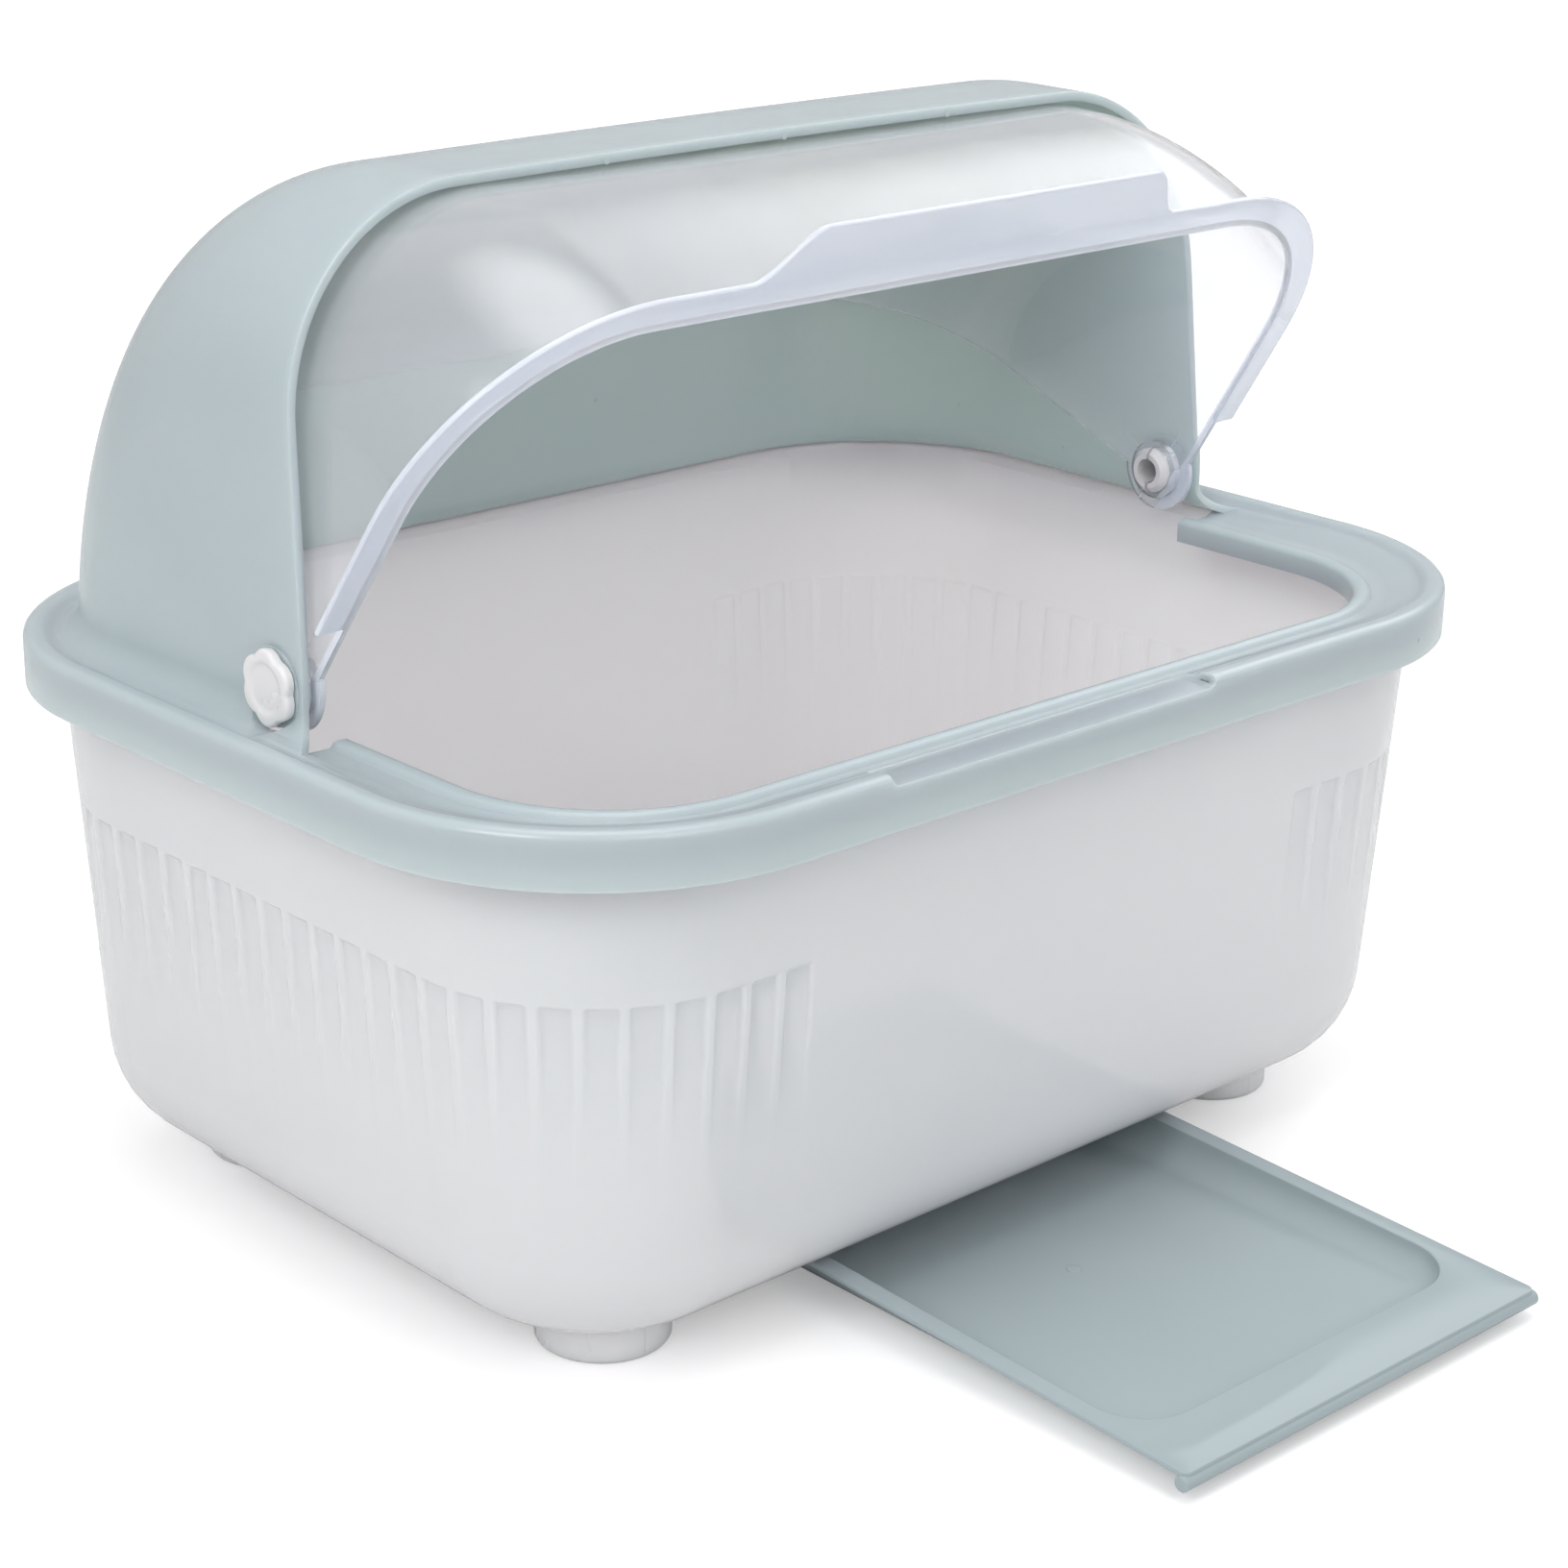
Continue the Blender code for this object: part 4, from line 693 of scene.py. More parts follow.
# %% The rim band
GROOVE = (0.0125, 0.1933)
LIP_HALF = (0.1888, 0.1369)
LIP_CORNER = 0.056
LIP_END_Y = -0.026
WEB_Z = 0.1910
RIM_OUTSIDE = ((0, SKIRT_Z), (0, 0.1923), (0.0003, 0.19365), (0.0011, 0.1946), (0.0020, 0.19515),
               (0.0030, CREST_Z), (0.0056, CREST_Z), (0.0066, 0.1950), (0.0080, 0.1941), (0.0093, 0.19355),
               GROOVE)
WEB_AND_LIP = ((0.34, 0.1898), (0.655, 0.1895), (0.70, 0.1902), (0.735, 0.1910), (0.79, 0.1914),
               (0.87, 0.1914), (0.94, 0.1911), (0.98, 0.1904), (1, 0.1895), (1, 0.1830),
               (1, 0.1830, 0.0019), (1, 0.1888, 0.0019), (0.655, 0.1876, 0.0007), (0.34, 0.1879, 0.0007))
RIM_UNDERSIDE = ((0.0118, WEB_Z), (0.0090, WEB_Z), (0.0060, 0.1930), (0.0030, 0.1930), (0.0023, 0.1923),
                 (0.0023, SKIRT_Z))


def rim_ring(inset, z):
    return outline(*shrunk(RIM_HALF, RIM_CORNER, inset), z)


def web_ring(share, z, outset=0.0):
    """Part of the way from the groove to the mouth."""
    sizes = []
    for rim, lip in ((RIM_HALF[0], LIP_HALF[0]), (RIM_HALF[1], LIP_HALF[1]), (RIM_CORNER, LIP_CORNER)):
        start = rim - GROOVE[0]
        sizes.append(start + (lip - start) * share + outset)
    return outline(*sizes, z)


rim_rings = [rim_ring(*each) for each in RIM_OUTSIDE]
rim_rings += [web_ring(*each) for each in WEB_AND_LIP]
rim_rings += [rim_ring(*each) for each in RIM_UNDERSIDE]
rim = loft("rim_band", rim_rings, endless=True)
round_edges(rim, 0.0004, 2, 50)
settle(rim)
print("rim section:", len(rim_rings), "outlines")

# %% [markdown]
# Behind the hood's feet the rim has no web and no lip, so one cutter opens it there. Another takes the long
# finger notch out of the front crest, left of the middle, over a small sill that closes the crest's hollow.

# %% The rear opening and the finger notch
NOTCH_LEFT, NOTCH_RIGHT, NOTCH_Z = -0.097, 0.047, 0.1920
NOTCH_Y = -RIM_HALF[1] + 0.014
NOTCH_BEND = 0.0030
OPENING_INSET = GROOVE[0] + 0.0007
SILL_Y = (-RIM_HALF[1] + 0.00115, -RIM_HALF[1] + 0.010)
SILL_Z = (WEB_Z - 0.00035, 0.1926)
ABOVE_CREST = CREST_Z + OVERRUN

edge = RIM_HALF[0] - OPENING_INSET
plan = [(edge, LIP_END_Y)] + [point[:2] for point in rim_ring(OPENING_INSET, 0) if point[1] > 0]
plan.append((-edge, LIP_END_Y))
rear_opening = loft("rear_opening", [[(x, y, z) for x, y in plan] for z in (SKIRT_Z, ABOVE_CREST)])
join_or_cut(rim, rear_opening, "DIFFERENCE")
sill = block("notch_sill", (NOTCH_LEFT, SILL_Y[0], SILL_Z[0]), (NOTCH_RIGHT, SILL_Y[1], SILL_Z[1]))
join_or_cut(rim, sill, "UNION")
side_view = [(NOTCH_RIGHT, ABOVE_CREST), (NOTCH_LEFT, ABOVE_CREST)]
for sign, end in ((-1, NOTCH_LEFT), (1, NOTCH_RIGHT)):
    bend = []
    for cosine, sine in arc(0, QUARTER, 12):
        bend.append((end + sign * NOTCH_BEND * (cosine - 1), NOTCH_Z + NOTCH_BEND * (1 - sine)))
    side_view += bend if sign < 0 else bend[::-1]
notch_rings = [[(x, y, z) for x, z in side_view] for y in (-RIM_HALF[1] - OVERRUN, NOTCH_Y)]
join_or_cut(rim, loft("notch", notch_rings), "DIFFERENCE")
print("notch:", round((NOTCH_RIGHT - NOTCH_LEFT) * 1000), "mm wide")

# %% [markdown]
# The hood is a fan of arches. Each arch lies in a plane that turns up about the hood's foot line, from level
# at the rear to nearly upright at the front, and each is a flat-topped bow with rounded shoulders. Below the
# fan, level bows flare out onto the rim. Outside and inside are two such fans a wall apart, joined round the
# free edge, which is rolled over to a bead. A subdivided cage would be quicker to pull about, but wouldn't
# keep to the CAD's sizes.

# %% Bows and their reach
HOOD_FOOT_Y = -0.0228
HOOD_BASE_Z = 0.212
HOOD_HALF = 0.2039
HOOD_TOP = 0.3526
HOOD_WALL = 0.0024
HOOD_CROWN = 0.0008
BASE_RISE, FLARE_RISE = 0.012, 0.001
SIDE_DRAFT = math.tan(math.radians(2.0))
HOOD_FRONT = QUARTER - math.radians(4.8)
HOOD_CORNERS = (0.064, 0.069)
CURVE_Y, CURVE_Z, CURVE_DEPTH = 0.017, 0.1914, 0.130
ARCH_STEPS = 30


def bow(half, reach, corner, slope, crown=0.0):
    """Half-width and reach along one flat-topped arch, from its right foot over to its left one."""
    lean = math.atan(slope)
    middle = reach - corner
    centre = half - middle * slope - corner / math.cos(lean)
    side = [(half - middle * slope * share / 4, middle * share / 4) for share in range(4)]
    for cosine, sine in arc(lean, QUARTER, ARCH_STEPS):
        side.append((centre + corner * cosine, middle + corner * sine))
    for share in (0.75, 0.5, 0.25):
        side.append((centre * share, reach + crown * (1 - share * share)))
    return side + [(0.0, reach + crown)] + [(-across, along) for across, along in reversed(side)]


def hood_reach(angle, inset):
    """From the foot line to the flat roof, or to the rounded back, along one plane of the fan."""
    along, up = math.cos(angle), math.sin(angle)
    top = HOOD_TOP - inset
    if up > 0:
        reach = (top - HOOD_BASE_Z) / up
        if HOOD_FOOT_Y + reach * along <= CURVE_Y:
            return reach
    depth, height = CURVE_DEPTH - inset, top - CURVE_Z
    start_y, start_z = (HOOD_FOOT_Y - CURVE_Y) / depth, (HOOD_BASE_Z - CURVE_Z) / height
    along, up = along / depth, up / height
    square = along * along + up * up
    half = start_y * along + start_z * up
    return (math.sqrt(half * half - square * (start_y * start_y + start_z * start_z - 1)) - half) / square


print("roof over the front edge:", round(hood_reach(HOOD_FRONT, 0) * 1000, 1), "mm")

# %% [markdown]
# The flared foot spreads from the hood's own plan to the rim's while it sinks from the flare's top to the
# rim, so a row of it is asked for by that share. The free edge is a short list of turns before the front
# plane, with the insets that roll the wall over to a bead.

# %% Rows of the fan and of the flared foot
FLARE_TOP = 0.2010
FLARE_FRONT = 0.012


def fan_row(turn, inset, top_inset):
    share = turn / HOOD_FRONT
    corner = HOOD_CORNERS[0] + (HOOD_CORNERS[1] - HOOD_CORNERS[0]) * share - top_inset
    half = HOOD_HALF - BASE_RISE * SIDE_DRAFT
    slope = math.sin(turn) * SIDE_DRAFT
    pairs = bow(half - inset, hood_reach(turn, top_inset), corner, slope, HOOD_CROWN * share)
    foot = half - HOOD_WALL if inset else half
    pairs[0], pairs[-1] = (foot, 0.0), (-foot, 0.0)
    ahead, up = math.cos(turn), math.sin(turn)
    return [(across, HOOD_FOOT_Y + along * ahead, HOOD_BASE_Z + along * up) for across, along in pairs]


def foot_row(share, z, inset, hem):
    depth, height = CURVE_DEPTH - inset, HOOD_TOP - inset - CURVE_Z
    rise = (FLARE_TOP - CURVE_Z) / height
    half = HOOD_HALF - FLARE_RISE * SIDE_DRAFT - inset
    rear = CURVE_Y + depth * math.sqrt(1 - rise * rise)
    corner = HOOD_CORNERS[0] - inset
    half += (RIM_HALF[0] - hem - half) * share
    rear += (RIM_HALF[1] - hem - rear) * share
    corner += (RIM_CORNER - hem - corner) * share
    front = HOOD_FOOT_Y - FLARE_FRONT * share
    return [(across, front + along, z) for across, along in bow(half, rear - front, corner, 0)]


print("points in one row:", len(fan_row(0, 0, 0)))

# %% The hood's skin
FLARE_STEPS = 10
HEM, INNER_HEM, TUCK = 0.012, 0.0142, 0.010
HEM_Z, INNER_HEM_Z = 0.1936, 0.1912
TUCK_Z, INNER_TUCK_Z = 0.1926, 0.1916
FAN_STEPS = 44
FAN_END = HOOD_FRONT - math.radians(0.45)
INNER_EDGE = ((1.6, HOOD_WALL, HOOD_WALL), (1.35, 0.0029, 0.0034), (1.25, 0.0030, 0.0036),
              (0.35, 0.0030, 0.0036), (0.12, 0.0027, 0.0032), (0.02, 0.0021, 0.0025), (0.0, 0.0015, 0.0018))
OUTER_EDGE = ((0.20, 0.0001, 0.0001), (0.05, 0.0005, 0.0006))


def hood_skin():
    outer = [foot_row(1, TUCK_Z, 0, TUCK)]
    inner = [foot_row(1, INNER_TUCK_Z, HOOD_WALL, TUCK)]
    for cosine, sunk in reversed(arc(0, QUARTER, FLARE_STEPS)):
        share = 1 - cosine
        outer.append(foot_row(share, FLARE_TOP + (HEM_Z - FLARE_TOP) * sunk, 0, HEM))
        inner.append(foot_row(share, FLARE_TOP + (INNER_HEM_Z - FLARE_TOP) * sunk, HOOD_WALL, INNER_HEM))
    lower = len(outer)
    for step in range(FAN_STEPS + 1):
        outer.append(fan_row(FAN_END * step / FAN_STEPS, 0, 0))
        if step < FAN_STEPS:
            inner.append(fan_row(FAN_END * step / FAN_STEPS, HOOD_WALL, HOOD_WALL))
    for side, bead in ((inner, INNER_EDGE), (outer, OUTER_EDGE)):
        for before, inset, top_inset in bead:
            side.append(fan_row(HOOD_FRONT - math.radians(before), inset, top_inset))
    rows = outer + inner[::-1]
    count, last = len(rows[0]), len(rows) - 1
    ends = []
    for row in range(lower):
        for end in (0, count - 1):
            near, above = row * count + end, (row + 1) * count + end
            facing, facing_above = (last - row) * count + end, (last - row - 1) * count + end
            ends.append((near, above, facing_above, facing))
    return loft("hood_skin", rows, endless=True, slit=True, more=ends)


hood = hood_skin()
print("hood:", len(hood.data.polygons), "faces")

# %% [markdown]
# Three pin-point gate marks sit on the wide band over the mouth: the plastic flowed in there. They are three
# tiny raised dots on the band. Then hood and rim are joined, and each side gets a boss, the local flat seat
# and the bore for a flower pin.

# %% One cover out of rim, hood, gate marks and pin seats
PIVOT = (-0.0085, 0.2063)
PIN_BORE = 0.00805
SEAT_X, SEAT_RADIUS = 0.2041, 0.0133
SEAT_SIDES = (0.1993, SEAT_X + 0.0007, SEAT_X, SEAT_X + 0.012, 0.1896)
BAND_HALF = 0.0020
GATE_RADIUS, GATE_FOOT, GATE_HEIGHT = 0.0011, 0.0008, 0.00022

ahead = Vector((0, -math.sin(HOOD_FRONT), math.cos(HOOD_FRONT)))
upward = Vector((0, math.cos(HOOD_FRONT), math.sin(HOOD_FRONT)))
for x in (-0.075, 0.0, 0.075):
    place = Vector((x, HOOD_FOOT_Y, HOOD_BASE_Z)) + upward * (hood_reach(HOOD_FRONT, 0) - BAND_HALF)
    dot = bar(f"gate_{x}", GATE_RADIUS, place - ahead * GATE_FOOT, place + ahead * GATE_HEIGHT, steps=24)
    join_or_cut(hood, dot, "UNION")
join_or_cut(rim, hood, "UNION")
for side in (-1, 1):
    boss, seat_end, seat, outside, inside = [(side * x, *PIVOT) for x in SEAT_SIDES]
    join_or_cut(rim, bar(f"boss_{side}", SEAT_RADIUS - 0.0006, boss, seat_end), "UNION")
    join_or_cut(rim, bar(f"seat_{side}", SEAT_RADIUS, seat, outside), "DIFFERENCE")
    join_or_cut(rim, bar(f"bore_{side}", PIN_BORE, inside, outside), "DIFFERENCE")
rim.name = "cover_skin"
settle(rim, 32)
fit_in_frame(rim, "cover", COVER_FINISH, "cover")
print("cover done, bores of", round(PIN_BORE * 2000, 1), "mm")

# %% [markdown]
# ## The visor
# The visor is part of a barrel that turns about the two pins: a profile with round shoulders, swept through
# 99 degrees. Seen from the side it has a straight rear edge, a straight free edge and a round ear about the
# pivot. So a whole barrel is turned first, as on a lathe, and kept only where it meets that side view. Its
# sides are cut into short spans, because long thin wedges would show as streaks. A flange runs round the
# free edge and widens into a finger tab. The visor is drawn shut, about the pivot, and then raised 57
# degrees, as it stands in the photograph.

# %% The visor's profile and barrel
VISOR_HALF = 0.1990
VISOR_RADIUS = 0.1421
VISOR_CORNER = 0.0685
VISOR_LEAN = math.radians(3.8)
SIDE_SPANS, PROFILE_STEPS = 8, 28
BARREL_STEPS, BARREL_WELD = 180, 0.00001


def visor_profile(inset):
    slope = math.tan(VISOR_LEAN)
    middle = VISOR_RADIUS - VISOR_CORNER
    centre = VISOR_HALF - middle * slope - VISOR_CORNER / math.cos(VISOR_LEAN)
    root = VISOR_HALF - inset / math.cos(VISOR_LEAN)
    corner = VISOR_CORNER - inset
    pairs = []
    for span in range(SIDE_SPANS):
        pairs.append((root - middle * slope * span / SIDE_SPANS, middle * span / SIDE_SPANS))
    for cosine, sine in arc(VISOR_LEAN, QUARTER, PROFILE_STEPS):
        pairs.append((centre + corner * cosine, middle + corner * sine))
    return pairs


def barrel(name, inset):
    half = visor_profile(inset)
    pairs = half + [(-across, radius) for across, radius in reversed(half)]
    shape = bmesh.new()
    corners = [shape.verts.new((radius, 0, across)) for across, radius in pairs]
    for first, second in zip(corners, corners[1:]):
        shape.edges.new((first, second))
    made = raw(name, shape)
    steps = {"steps": BARREL_STEPS, "render_steps": BARREL_STEPS}
    modify(made, "SCREW", use_merge_vertices=True, merge_threshold=BARREL_WELD, **steps)
    made.rotation_euler = (0, QUARTER, 0)
    return made


print("visor profile:", len(visor_profile(0)), "points from ear to roof")

# %% Its side view and the plan of its flange
EDGE_DROP = 0.0100
EDGE_WIDTH = 0.0095
FLANGE_START = 0.033
SWEEP = math.radians(99.0)
REAR_OFFSET = 0.0065
EAR_RADIUS = 0.0155
EAR_STEPS = 48
TAB_REACH = 0.1710
TAB_HALF = (0.0930, 0.0720)
TAB_STEPS = 24


def side_view_of_visor():
    """Distance ahead of the pivot and height over it: free edge, round ear, rear edge and a far corner."""
    points = [(TAB_REACH, -EDGE_DROP)]
    first = math.asin(-EDGE_DROP / EAR_RADIUS)
    last = -2 * math.pi + SWEEP + math.asin(REAR_OFFSET / EAR_RADIUS)
    points += [(EAR_RADIUS * cosine, EAR_RADIUS * sine) for cosine, sine in arc(first, last, EAR_STEPS)]
    ahead, up = math.cos(SWEEP), math.sin(SWEEP)
    points.append((TAB_REACH * ahead - REAR_OFFSET * up, TAB_REACH * up + REAR_OFFSET * ahead))
    return points + [(TAB_REACH, TAB_REACH)]


def flange_plan():
    outer = visor_profile(-EDGE_WIDTH)
    start = outer[0][0] - math.hypot(FLANGE_START, EDGE_DROP) * math.tan(VISOR_LEAN)
    side = [(start, FLANGE_START)]
    for across, radius in outer[SIDE_SPANS:]:
        side.append((across, math.sqrt(radius * radius - EDGE_DROP * EDGE_DROP)))
    front = side[-1][1]
    for step in range(TAB_STEPS + 1):
        share = step / TAB_STEPS
        eased = (1 - math.cos(math.pi * share)) / 2
        side.append((TAB_HALF[0] + (TAB_HALF[1] - TAB_HALF[0]) * share, front + (TAB_REACH - front) * eased))
    return side + [(-across, ahead) for across, ahead in reversed(side)]


print("flange plan:", len(flange_plan()), "points")

# %% The visor, cut from its barrel and raised
VISOR_WALL = 0.0020
FLANGE_THICK = 0.0020
EAR_FACE = 0.1936
EAR_BOSS = 0.0108

half = VISOR_HALF + OVERRUN
visor = loft("visor_skin", [[(x, -ahead, up) for ahead, up in side_view_of_visor()] for x in (-half, half)])
join_or_cut(visor, barrel("visor_outside", 0), "INTERSECT")
plan_rings = [[(x, -ahead, z) for x, ahead in flange_plan()] for z in (-EDGE_DROP, -EDGE_DROP + FLANGE_THICK)]
flange = loft("visor_flange", plan_rings)
round_edges(flange, 0.0007, 3, 50)
settle(flange)
join_or_cut(visor, flange, "UNION")
join_or_cut(visor, barrel("visor_inside", VISOR_WALL), "DIFFERENCE")
for side in (-1, 1):
    root, face = side * (VISOR_HALF - VISOR_WALL * 4 / 5), side * EAR_FACE
    boss = bar(f"ear_{side}", EAR_BOSS, (face, 0, 0), (root, 0, 0))
    bore = bar(f"ear_bore_{side}", PIN_BORE, (face - side * OVERRUN, 0, 0), (side * half, 0, 0))
    join_or_cut(visor, boss, "UNION")
    join_or_cut(visor, bore, "DIFFERENCE")
settle(visor, 30)
visor.data.transform(Matrix.Rotation(-RAISED, 4, "X"))
visor.location = (0, *PIVOT)
fit_in_frame(visor, "visor", VISOR_FINISH, "visor")
print("visor raised by", round(math.degrees(RAISED)), "degrees")

# %% [markdown]
# ## The flower pins
# Each pin is a six-lobed cap with a shallow dish, on a hollow shank that is split so that it snaps into the
# visor's ear. The cap could be six merged cylinders, but one ring whose radius swells six times round is
# simpler and gives the same narrow valleys. The profile runs from the hollow shank's inner end out to the
# cap and over its rounded edge into the dish; each of its points is a radius, a height over the cap's foot
# and a lobe.

# %% Two flower pins
CAP_FACE = SEAT_X + GAP
GRIP = CAP_FACE - EAR_FACE + GAP
PIN_END = GRIP + 0.0034
LOBE = 0.0008
SHANK = ((0.0046, 0, 0), (0.0046, -PIN_END, 0), (0.00655, -PIN_END, 0), (0.0084, -GRIP - 0.0012, 0),
         (0.0084, -GRIP, 0), (0.00775, -GRIP, 0), (0.00775, 0, 0), (0.0113, 0, LOBE))
DISH = ((0.0090, 0.00320, LOBE / 2), (0.0083, 0.00308, 0), (0.0078, 0.00275, 0), (0.0072, 0.00250, 0),
        (0.0066, 0.00242, 0), (0.0050, 0.00240, 0), (0.0020, 0.00245, 0))
CAP_RADIUS, CAP_SIDE, CAP_ROUND = 0.0102, 0.0018, 0.0014
SPLIT_LOW, SPLIT_HIGH = (-0.0124, -0.0007, -PIN_END - OVERRUN), (0.0124, 0.0007, -0.0028)

cap_edge = []
for cosine, sine in arc(0, QUARTER, 8):
    cap_edge.append((CAP_RADIUS + CAP_ROUND * cosine, CAP_SIDE + CAP_ROUND * sine, LOBE))
for side, word in ((-1, "left"), (1, "right")):
    rings = [turned_ring(radius, z, 120, lobe) for radius, z, lobe in (*SHANK, *cap_edge, *DISH)]
    pin = loft(f"flower_pin_{word}", rings)
    join_or_cut(pin, block(f"split_{word}", SPLIT_LOW, SPLIT_HIGH), "DIFFERENCE")
    settle(pin)
    pin.data.transform(Matrix.Rotation(side * QUARTER, 4, "Y"))
    pin.location = (side * CAP_FACE, *PIVOT)
    fit_in_frame(pin, "cover", PIN_FINISH, f"pivot_pin_{word}")
print("pins reach", round(PIN_END * 1000, 1), "mm inwards from the cap")

# %% [markdown]
# ## The drip tray
# The tray is a thin sage moulding: a flat flange, a pan whose walls curve into its floor, and a small bead
# under the front edge for the fingers. The flange falls with the rails while the pan's floor stays level, so
# that the water spreads out. A sunk box couldn't do both, so every ring of the pan asks each of its points
# how deep the floor is below it. One more ring just inside the floor's border keeps the big flat face free
# of the curve's shading. The tray is drawn about its own front edge, and then tipped and slid to its place.

# %% The drip tray's rings
TRAY_LENGTH = 0.226
TRAY_FRONT_Y = -0.280
TRAY_CORNER, PAN_CORNER = 0.0030, 0.020
TRAY_STEPS = 16
PAN_HALF = TRAY_HALF - 0.0070
PAN_FRONT, PAN_REAR = 0.023, TRAY_LENGTH - 0.006
PAN_DEPTH, PAN_RUN, PAN_WALL, PAN_STEPS = 0.0072, 0.0090, 0.0015, 14
FLOOR_INSET = 0.0008
TRAY_EDGE = ((0.0003, -TRAY_FLANGE), (0, 0.0003 - TRAY_FLANGE), (0, -0.0006), (0.0002, -0.0002), (0.0006, 0))
PAN_EDGE = ((-0.0007, 0), (-0.0003, -0.00009), (-0.00008, -0.0003))


def tray_ring(inset, z):
    middle = TRAY_LENGTH / 2
    return outline(TRAY_HALF - inset, middle - inset, TRAY_CORNER - inset, z, TRAY_STEPS, middle)


def recess_ring(inset, z):
    front, rear = PAN_FRONT + inset, PAN_REAR - inset
    half_y, middle = (rear - front) / 2, (rear + front) / 2
    return outline(PAN_HALF - inset, half_y, PAN_CORNER - inset, z, TRAY_STEPS, middle)


def pan_depth(y):
    return PAN_DEPTH + (y - PAN_FRONT) * math.tan(FALL)


def pan_ring(step, wall, more=0.0):
    angle = QUARTER * step / PAN_STEPS
    inset = PAN_RUN * (1 - math.cos(angle)) - wall * math.cos(angle) + more
    return [(x, y, -(pan_depth(y) + wall) * math.sin(angle)) for x, y, z in recess_ring(inset, 0)]


tray_rings = [pan_ring(PAN_STEPS, PAN_WALL, FLOOR_INSET)]
tray_rings += [pan_ring(step, PAN_WALL) for step in range(PAN_STEPS, 3, -1)]
tray_rings.append(recess_ring(-PAN_WALL - 0.0004, -TRAY_FLANGE))
tray_rings += [tray_ring(inset, z) for inset, z in TRAY_EDGE]
tray_rings += [recess_ring(inset, z) for inset, z in PAN_EDGE]
tray_rings += [pan_ring(step, 0) for step in range(1, PAN_STEPS + 1)] + [pan_ring(PAN_STEPS, 0, FLOOR_INSET)]
tray = loft("tray_skin", tray_rings)
print("tray skin:", len(tray.data.polygons), "faces")

# %% Its bead and its gate mark
BEAD_RADIUS, BEAD_OUT, BEAD_Y, BEAD_Z = 0.0026, 0.0006, 0.0013, -0.0037
TRAY_GATE_X, TRAY_GATE_Y, TRAY_GATE_RADIUS = -0.0076, 0.1145, 0.0026

bead_x = TRAY_HALF + BEAD_OUT
bead = bar("tray_bead", BEAD_RADIUS, (-bead_x, BEAD_Y, BEAD_Z), (bead_x, BEAD_Y, BEAD_Z), steps=40)
floor_at_gate = -pan_depth(TRAY_GATE_Y)
gate_foot = (TRAY_GATE_X, TRAY_GATE_Y, floor_at_gate - 0.0006)
gate_face = (TRAY_GATE_X, TRAY_GATE_Y, floor_at_gate + 0.00025)
gate = bar("tray_gate", TRAY_GATE_RADIUS, gate_foot, gate_face, steps=48)
for piece, width in ((bead, 0.0007), (gate, 0.00018)):
    round_edges(piece, width)
    settle(piece)
    join_or_cut(tray, piece, "UNION")
settle(tray, 32)
tray.data.transform(Matrix.Rotation(FALL, 4, "X"))
tray.location = (0, TRAY_FRONT_Y, tray_plane(TRAY_FRONT_Y))
fit_in_frame(tray, "tray", TRAY_FINISH, "drip_tray")
pan_front_z = tray_plane(TRAY_FRONT_Y + PAN_FRONT) - PAN_DEPTH
print("pan floor", round(pan_front_z * 1000, 2), "mm over the table")

# %% [markdown]
# ## The drain rack
# The photograph can't show the tub's floor, so the rack is a plain one: a rounded frame, bars across it, two
# rows of pegs and four legs. Every bar has soft moulded edges. The shapes simply overlap in one mesh, since
# nobody sees inside the plastic.

# %% The drain rack
FRAME_HALF, FRAME_CORNER, FRAME_STEPS = (0.172, 0.116), 0.045, 20
FRAME_SECTION = ((0, 0.0368), (0, 0.0397), (0.0003, 0.0402), (0.0010, 0.0405), (0.0065, 0.0405),
                 (0.0072, 0.0402), (0.0075, 0.0397), (0.0075, 0.0368), (0.0072, 0.0363), (0.0065, 0.0360),
                 (0.0010, 0.0360), (0.0003, 0.0363))
FRAME_MIDDLE = 0.00375
MIDDLE_BEND = FRAME_CORNER - FRAME_MIDDLE
RACK_PITCH, RACK_BARS = 0.028, 11
BAR_HALF, BAR_Z, CROSS_Z = 0.0021, (0.0363, 0.0395), (0.0366, 0.0392)
CROSS_Y, RACK_PEG_Y, RACK_LEG_Y, RACK_LEG_X = 0.042, 0.060, 0.084, 0.132
RACK_PEG, RACK_PEG_TIP, RACK_PEG_Z = 0.0030, 0.0019, (0.0380, 0.0575)
RACK_LEG, RACK_LEG_Z = 0.0060, (BOTTOM_Z + WALL + GAP, 0.0395)

rings = []
for inset, z in FRAME_SECTION:
    rings.append(outline(*shrunk(FRAME_HALF, FRAME_CORNER, inset), z, FRAME_STEPS))
rack_parts = [loft("rack_frame", rings, endless=True)]
bar_places = [(number - RACK_BARS // 2) * RACK_PITCH for number in range(RACK_BARS)]
for x in bar_places:
    reach = FRAME_HALF[1] - FRAME_MIDDLE
    beyond = abs(x) - (FRAME_HALF[0] - FRAME_CORNER)
    if beyond > 0:
        reach -= MIDDLE_BEND - math.sqrt(MIDDLE_BEND ** 2 - beyond ** 2)
    low, high = (x - BAR_HALF, -reach, BAR_Z[0]), (x + BAR_HALF, reach, BAR_Z[1])
    rack_parts.append(block(f"bar_{x:.3f}", low, high))
cross_half = FRAME_HALF[0] - FRAME_MIDDLE
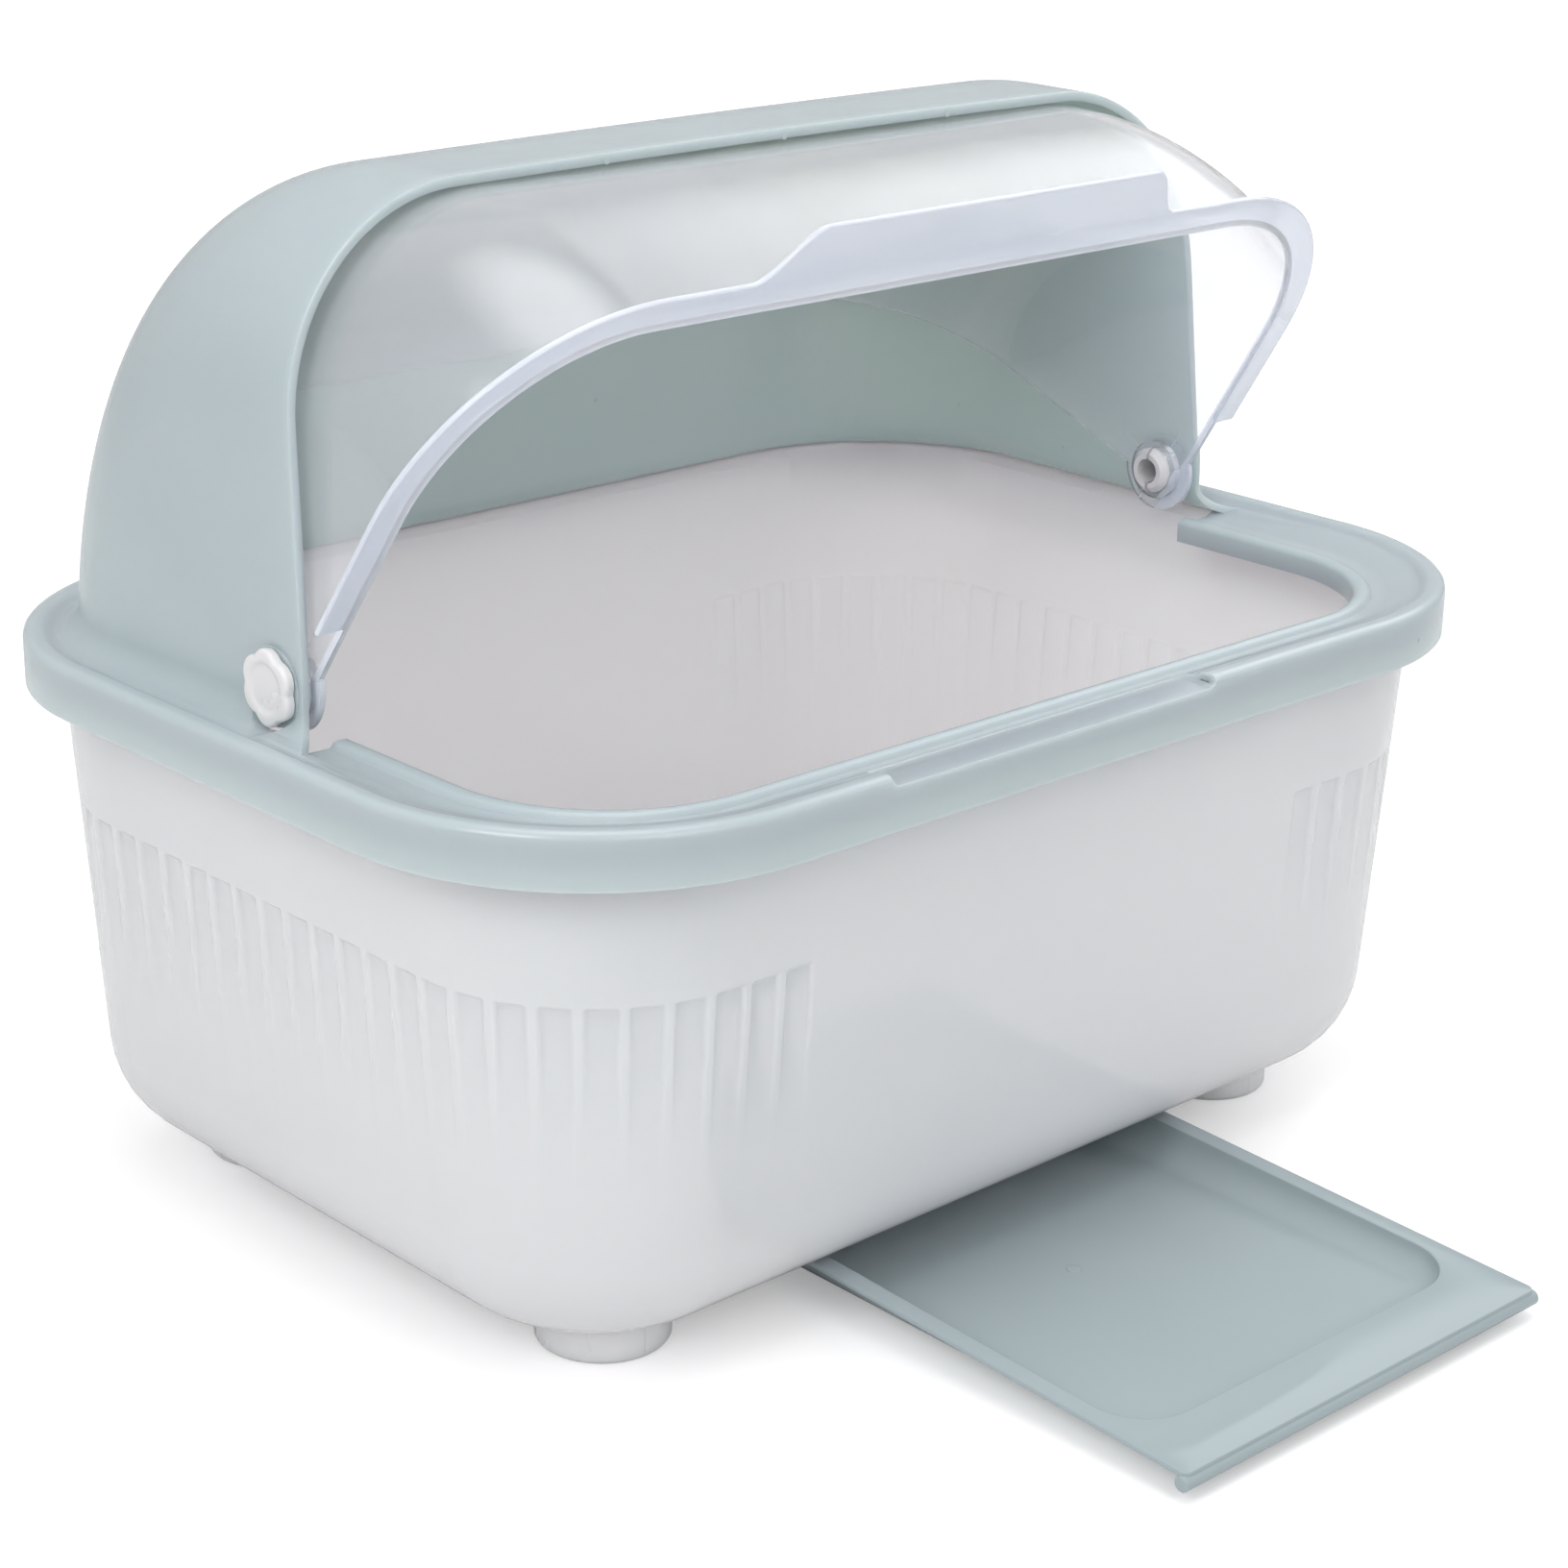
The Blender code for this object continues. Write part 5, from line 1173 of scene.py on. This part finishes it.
for side in (-1, 1):
    y = side * CROSS_Y
    low, high = (-cross_half, y - BAR_HALF, CROSS_Z[0]), (cross_half, y + BAR_HALF, CROSS_Z[1])
    rack_parts.append(block(f"cross_{side}", low, high))
    y = side * RACK_PEG_Y
    for x in bar_places[1:-1]:
        ends = [(x, y, z) for z in RACK_PEG_Z]
        rack_parts.append(bar(f"peg_{side}_{x:.3f}", RACK_PEG, *ends, 32, RACK_PEG_TIP))
    for x in (-RACK_LEG_X, RACK_LEG_X):
        ends = [(x, side * RACK_LEG_Y, z) for z in RACK_LEG_Z]
        rack_parts.append(bar(f"leg_{side}_{x}", RACK_LEG, *ends, 40))
for part in rack_parts[1:]:
    round_edges(part, 0.0006)
    settle(part)
rack = merged("rack_skin", rack_parts)
settle(rack)
fit_in_frame(rack, "rack", RACK_FINISH, "drain_rack")
print("rack parts:", len(rack_parts))

# %% [markdown]
# The cutters and blanks have done their work, so the bench is cleared.

# %% Clear the bench
print("cutters and blanks removed:", len(workshop))
for left_over in list(workshop):
    bpy.data.objects.remove(left_over)
workshop.clear()

# %% [markdown]
# ## Floor and light
# The drainer stands on a plain white floor in a soft studio. To the camera and through the clear visor the
# floor is brightened by a little glow of its own, more of it further away, so that it reads as white while
# the soft shadow stays; no extra light falls on the object for that. The world does the same for what lies
# beyond the floor.

# %% The floor
FLOOR_HALF, FLOOR_GRID = 4.0, 24
FLOOR_Z = -0.0002
PAPER, PALE_PAPER = (0.80, 0.80, 0.80, 1), (0.82, 0.82, 0.82, 1)
FLOOR_GLOW, FAR_GLOW = 0.30, 0.60
NEAR, FAR = 0.6, 2.2

shape = bmesh.new()
bmesh.ops.create_grid(shape, x_segments=FLOOR_GRID, y_segments=FLOOR_GRID, size=FLOOR_HALF)
floor = raw("studio_floor", shape)
floor.location = (0, 0, FLOOR_Z)


def seen_rays(tree):
    """1 for rays that look at a thing directly or through clear plastic."""
    ray = add(tree, "ShaderNodeLightPath")
    return both("ADD", ray.outputs["Is Camera Ray"], ray.outputs["Is Transmission Ray"])


floor_paint, tree, shader, place = fresh("studio_floor")
away = add(tree, "ShaderNodeVectorMath", {0: place}, operation="LENGTH").outputs["Value"]
glow = spread(away, NEAR, FAR, FLOOR_GLOW, FAR_GLOW)
dial(shader, {
    "Roughness": 0.9,
    "Specular IOR Level": 0.1,
    "Base Color": blend(PAPER, PALE_PAPER, noise(place, 60.0, 3.0)),
    "Emission Color": (1, 1, 1, 1),
    "Emission Strength": both("MULTIPLY", seen_rays(tree), glow),
})
floor.data.materials.append(floor_paint)
print("floor glow:", FLOOR_GLOW, "near,", FAR_GLOW, "far away")

# %% [markdown]
# Four large lamps stand round the drainer: a key at the left, one overhead, one high at the right and one
# high in front. A bare rectangle would show its hard outline in every glossy curve, so each lamp fades from
# its middle to its edge.

# %% World and lamps
WORLD_LIGHT = 0.50
FADE_START, FADE_END, FADE_GAIN = 0.12, 0.5, 2.85
LAMPS = {
    "key_left": {"place": (-1.9, -0.4, 1.7), "aim_z": 0.2, "size": (1.9, 1.9), "power": 22},
    "top": {"place": (0.0, 0.1, 2.4), "aim_z": 0.1, "size": (2.6, 2.6), "power": 20},
    "right_high": {"place": (1.95, 0.16, 1.85), "aim_z": 0.3, "size": (3.6, 2.0), "power": 16},
    "front_high": {"place": (-0.5, -2.2, 1.9), "aim_z": 0.2, "size": (2.8, 2.4), "power": 19.5},
}

world = bpy.data.worlds.new("studio")
bpy.context.scene.world = world
world.use_nodes = True
backdrop = world.node_tree.nodes["Background"]
strength = spread(seen_rays(world.node_tree), 0.0, 1.0, WORLD_LIGHT, 1.0)
dial(backdrop, {"Color": (1, 1, 1, 1), "Strength": strength})


def softbox(name, place, aim_z, size, power):
    lamp = bpy.data.lights.new(name, "AREA")
    lamp.shape = "RECTANGLE"
    lamp.size, lamp.size_y = size
    lamp.energy = power
    lamp.use_nodes = True
    tree = lamp.node_tree
    across = add(tree, "ShaderNodeNewGeometry").outputs["Parametric"]
    off = add(tree, "ShaderNodeVectorMath", {0: across, 1: (0.5, 0.5, 0)}, operation="DISTANCE")
    fade = spread(off.outputs["Value"], FADE_START, FADE_END, FADE_GAIN, 0.0, "SMOOTHSTEP")
    dial(tree.nodes["Emission"], {"Strength": fade})
    made = in_scene(name, lamp)
    made.location = place
    made.rotation_euler = (Vector((0, 0, aim_z)) - Vector(place)).to_track_quat("-Z", "Y").to_euler()


for name, settings in LAMPS.items():
    softbox(name, **settings)

# %% [markdown]
# ## The camera
# The photograph was measured against the outlines of rim, tub, feet and tray. That gives a camera to the
# left and a little above, with a longish lens and almost no roll.

# %% The camera
AZIMUTH, ELEVATION, ROLL = math.radians(-43.07), math.radians(19.94), math.radians(0.8)
DISTANCE = 1.19921
TARGET = Vector((0.00911, -0.00568 + MIDDLE_Y, 0.12385))

lens = bpy.data.cameras.new("portrait")
lens.sensor_width = 36.0
lens.lens = 78.87
lens.clip_start, lens.clip_end = 0.01, 50
camera = in_scene("portrait", lens)
level_right = Vector((math.cos(AZIMUTH), math.sin(AZIMUTH), 0))
back = Vector((
    math.sin(AZIMUTH) * math.cos(ELEVATION),
    -math.cos(AZIMUTH) * math.cos(ELEVATION),
    math.sin(ELEVATION),
))
level_up = back.cross(level_right)
right = level_right * math.cos(ROLL) + level_up * math.sin(ROLL)
up = level_up * math.cos(ROLL) - level_right * math.sin(ROLL)
turn = Matrix((right, up, back)).transposed().to_4x4()
camera.matrix_world = Matrix.Translation(TARGET + back * DISTANCE) @ turn
bpy.context.scene.camera = camera
bpy.context.scene.view_settings.view_transform = "Standard"
print("camera at", [round(value, 4) for value in camera.matrix_world.translation])
